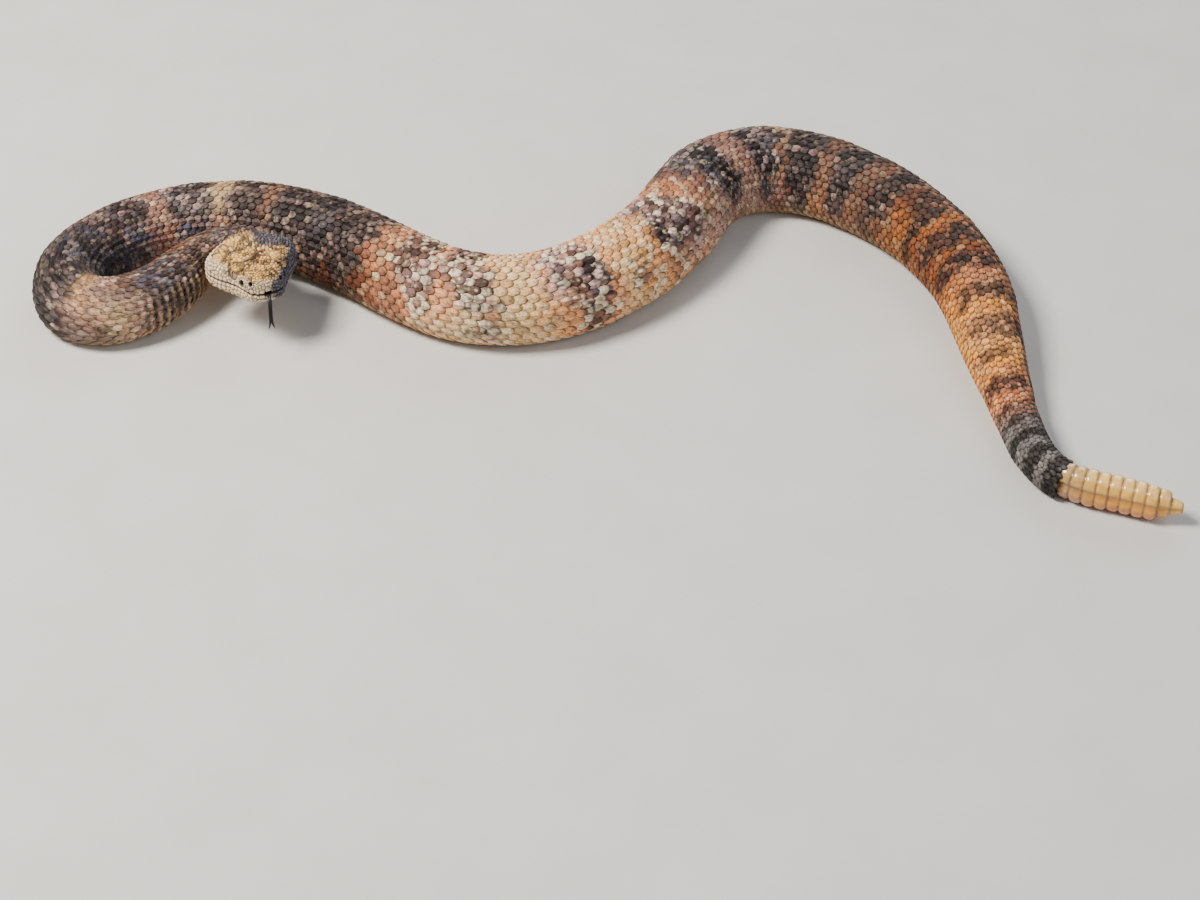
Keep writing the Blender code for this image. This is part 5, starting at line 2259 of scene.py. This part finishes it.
@dataclass(frozen=True)
class TongueFinish:
    """Black, moist flesh."""

    name: str

    def make(self) -> Material:
        """Make the material.

        Returns:
            The material.
        """
        nodes = Nodes(self.name)
        tint = nodes.attribute("Tint").outputs["Color"]
        cloud = nodes.noise(900.0, 3.0).outputs["Fac"]
        shade = nodes.grey(nodes.span(cloud, 0.3, 0.7, 0.7, 1.6))
        nodes.link(nodes.mix(1.0, tint, shade, "MULTIPLY"), nodes.shader.inputs["Base Color"])
        nodes.set(Roughness=0.42, Coat_Weight=0.12, Coat_Roughness=0.2, Specular_IOR_Level=0.3)
        nodes.bump(cloud, 0.2, 0.0001)
        return nodes.material


@dataclass
class Studio:
    """Pale floor, soft lights and the photo's camera."""

    floor_half: float = 3.0

    def build(self) -> None:
        """Make the floor, the lights and the camera."""
        deselect()
        bpy.ops.mesh.primitive_plane_add(size=2 * self.floor_half)
        floor = bpy.context.object
        floor.name = "floor"
        nodes = Nodes("pale_floor")
        cloud = nodes.noise(30.0, 4.0).outputs["Fac"]
        shade = nodes.mix(nodes.span(cloud, 0.3, 0.7), (0.60, 0.59, 0.57), (0.64, 0.63, 0.61))
        nodes.link(shade, nodes.shader.inputs["Base Color"])
        nodes.set(Roughness=0.9, Specular_IOR_Level=0.1)
        floor.data.materials.append(nodes.material)
        self.lamp("key", (-0.7, -0.1, 1.0), 0.4, 30.0, (1.0, 0.94, 0.86))
        self.lamp("fill", (0.9, -0.9, 0.9), 1.2, 8.5, (0.92, 0.96, 1.0))
        self.lamp("rim", (0.4, 1.1, 0.7), 0.8, 8.0, (1.0, 0.98, 0.95))
        world = bpy.data.worlds.new("studio")
        bpy.context.scene.world = world
        world.use_nodes = True
        back = world.node_tree.nodes["Background"]
        back.inputs["Color"].default_value = (0.93, 0.95, 1.0, 1.0)
        back.inputs["Strength"].default_value = 0.2
        camera = bpy.data.cameras.new("camera")
        camera.lens = CAMERA_LENS
        camera.sensor_width = CAMERA_SENSOR
        camera.clip_start = 0.02
        view = bpy.data.objects.new("camera", camera)
        view.location = CAMERA_PLACE
        view.rotation_euler = (math.radians(CAMERA_TILT), 0.0, 0.0)
        bpy.context.scene.collection.objects.link(view)
        bpy.context.scene.camera = view

    @staticmethod
    def lamp(name: str, place: tuple, size: float, power: float, colour: tuple) -> None:
        """Add one square lamp that faces the animal.

        Args:
            name: name of the lamp.
            place: where it is, in metres.
            size: length of its sides.
            power: its power in watts.
            colour: its colour.
        """
        light = bpy.data.lights.new(name, "AREA")
        light.size = size
        light.energy = power
        light.color = colour
        lamp = bpy.data.objects.new(name, light)
        lamp.location = place
        lamp.rotation_euler = (-Vector(place)).to_track_quat("-Z", "Y").to_euler()
        bpy.context.scene.collection.objects.link(lamp)


@dataclass
class Animal:
    """The whole dressed animal."""

    surface: Surface = field(default_factory=Surface)
    markings: Markings = field(default_factory=Markings)

    STRETCHES = (
        ("neck_scales", -3.0, 66.0, 25, "neck_3"),
        ("fore_scales", 66.0, 190.0, 25, "body_2"),
        ("middle_scales", 190.0, 345.0, 25, "body_5"),
        ("rear_scales", 345.0, 496.0, 25, "body_8"),
        ("hind_scales", 496.0, 543.0, 21, "body_10"),
        ("tail_scales", 543.0, 614.0, 17, "tail"),
    )

    def dress(self) -> None:
        """Make every piece and tie it to the frame."""
        scales = ScaleFinish("scale_horn").make()
        plates = ScaleFinish("plate_horn", rim=0.35, speckle=0.25, roughness=0.46).make()
        bare = ScaleFinish("bare_skin", rim=0.0, speckle=0.2, roughness=0.7).make()
        skin = Skin(self.surface, self.markings).build("skin", bare)
        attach(skin, "root")
        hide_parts(*FLESH_NODES)
        shingles = Shingles(self.surface, self.markings)
        for name, start, end, rows, slot in self.STRETCHES:
            self.attach(shingles.build(name, start, end, rows, scales), slot)
        scutes = Scutes(self.surface, self.markings).build("belly_scutes", plates)
        self.attach(scutes, "body_6")
        small = ScaleFinish("head_horn", rim=0.6, speckle=0.5).make()
        for piece in HeadScales(self.surface, self.markings).build(small):
            self.attach(piece, "head")
        for side in Side:
            self.attach(Brow(side, self.markings).build(small), "head")
            node = f"eye_{side.label}"
            eye = Eye(side).build(EyeFinish(f"{node}_iris").make())
            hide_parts(node)
            self.attach(eye, node)
        tongue = Tongue().build(TongueFinish("tongue_flesh").make())
        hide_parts("tongue")
        self.attach(tongue, "tongue")
        rattle = Rattle().build(HornFinish("rattle_horn").make())
        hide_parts("rattle")
        self.attach(rattle, "rattle")

    @staticmethod
    def attach(piece: Object, slot: str) -> None:
        """Ride a piece on the body."""
        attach(piece, "root")


def main() -> None:
    """Build the studio and the animal."""
    Studio().build()
    Animal().dress()


if __name__ == "__main__":
    main()
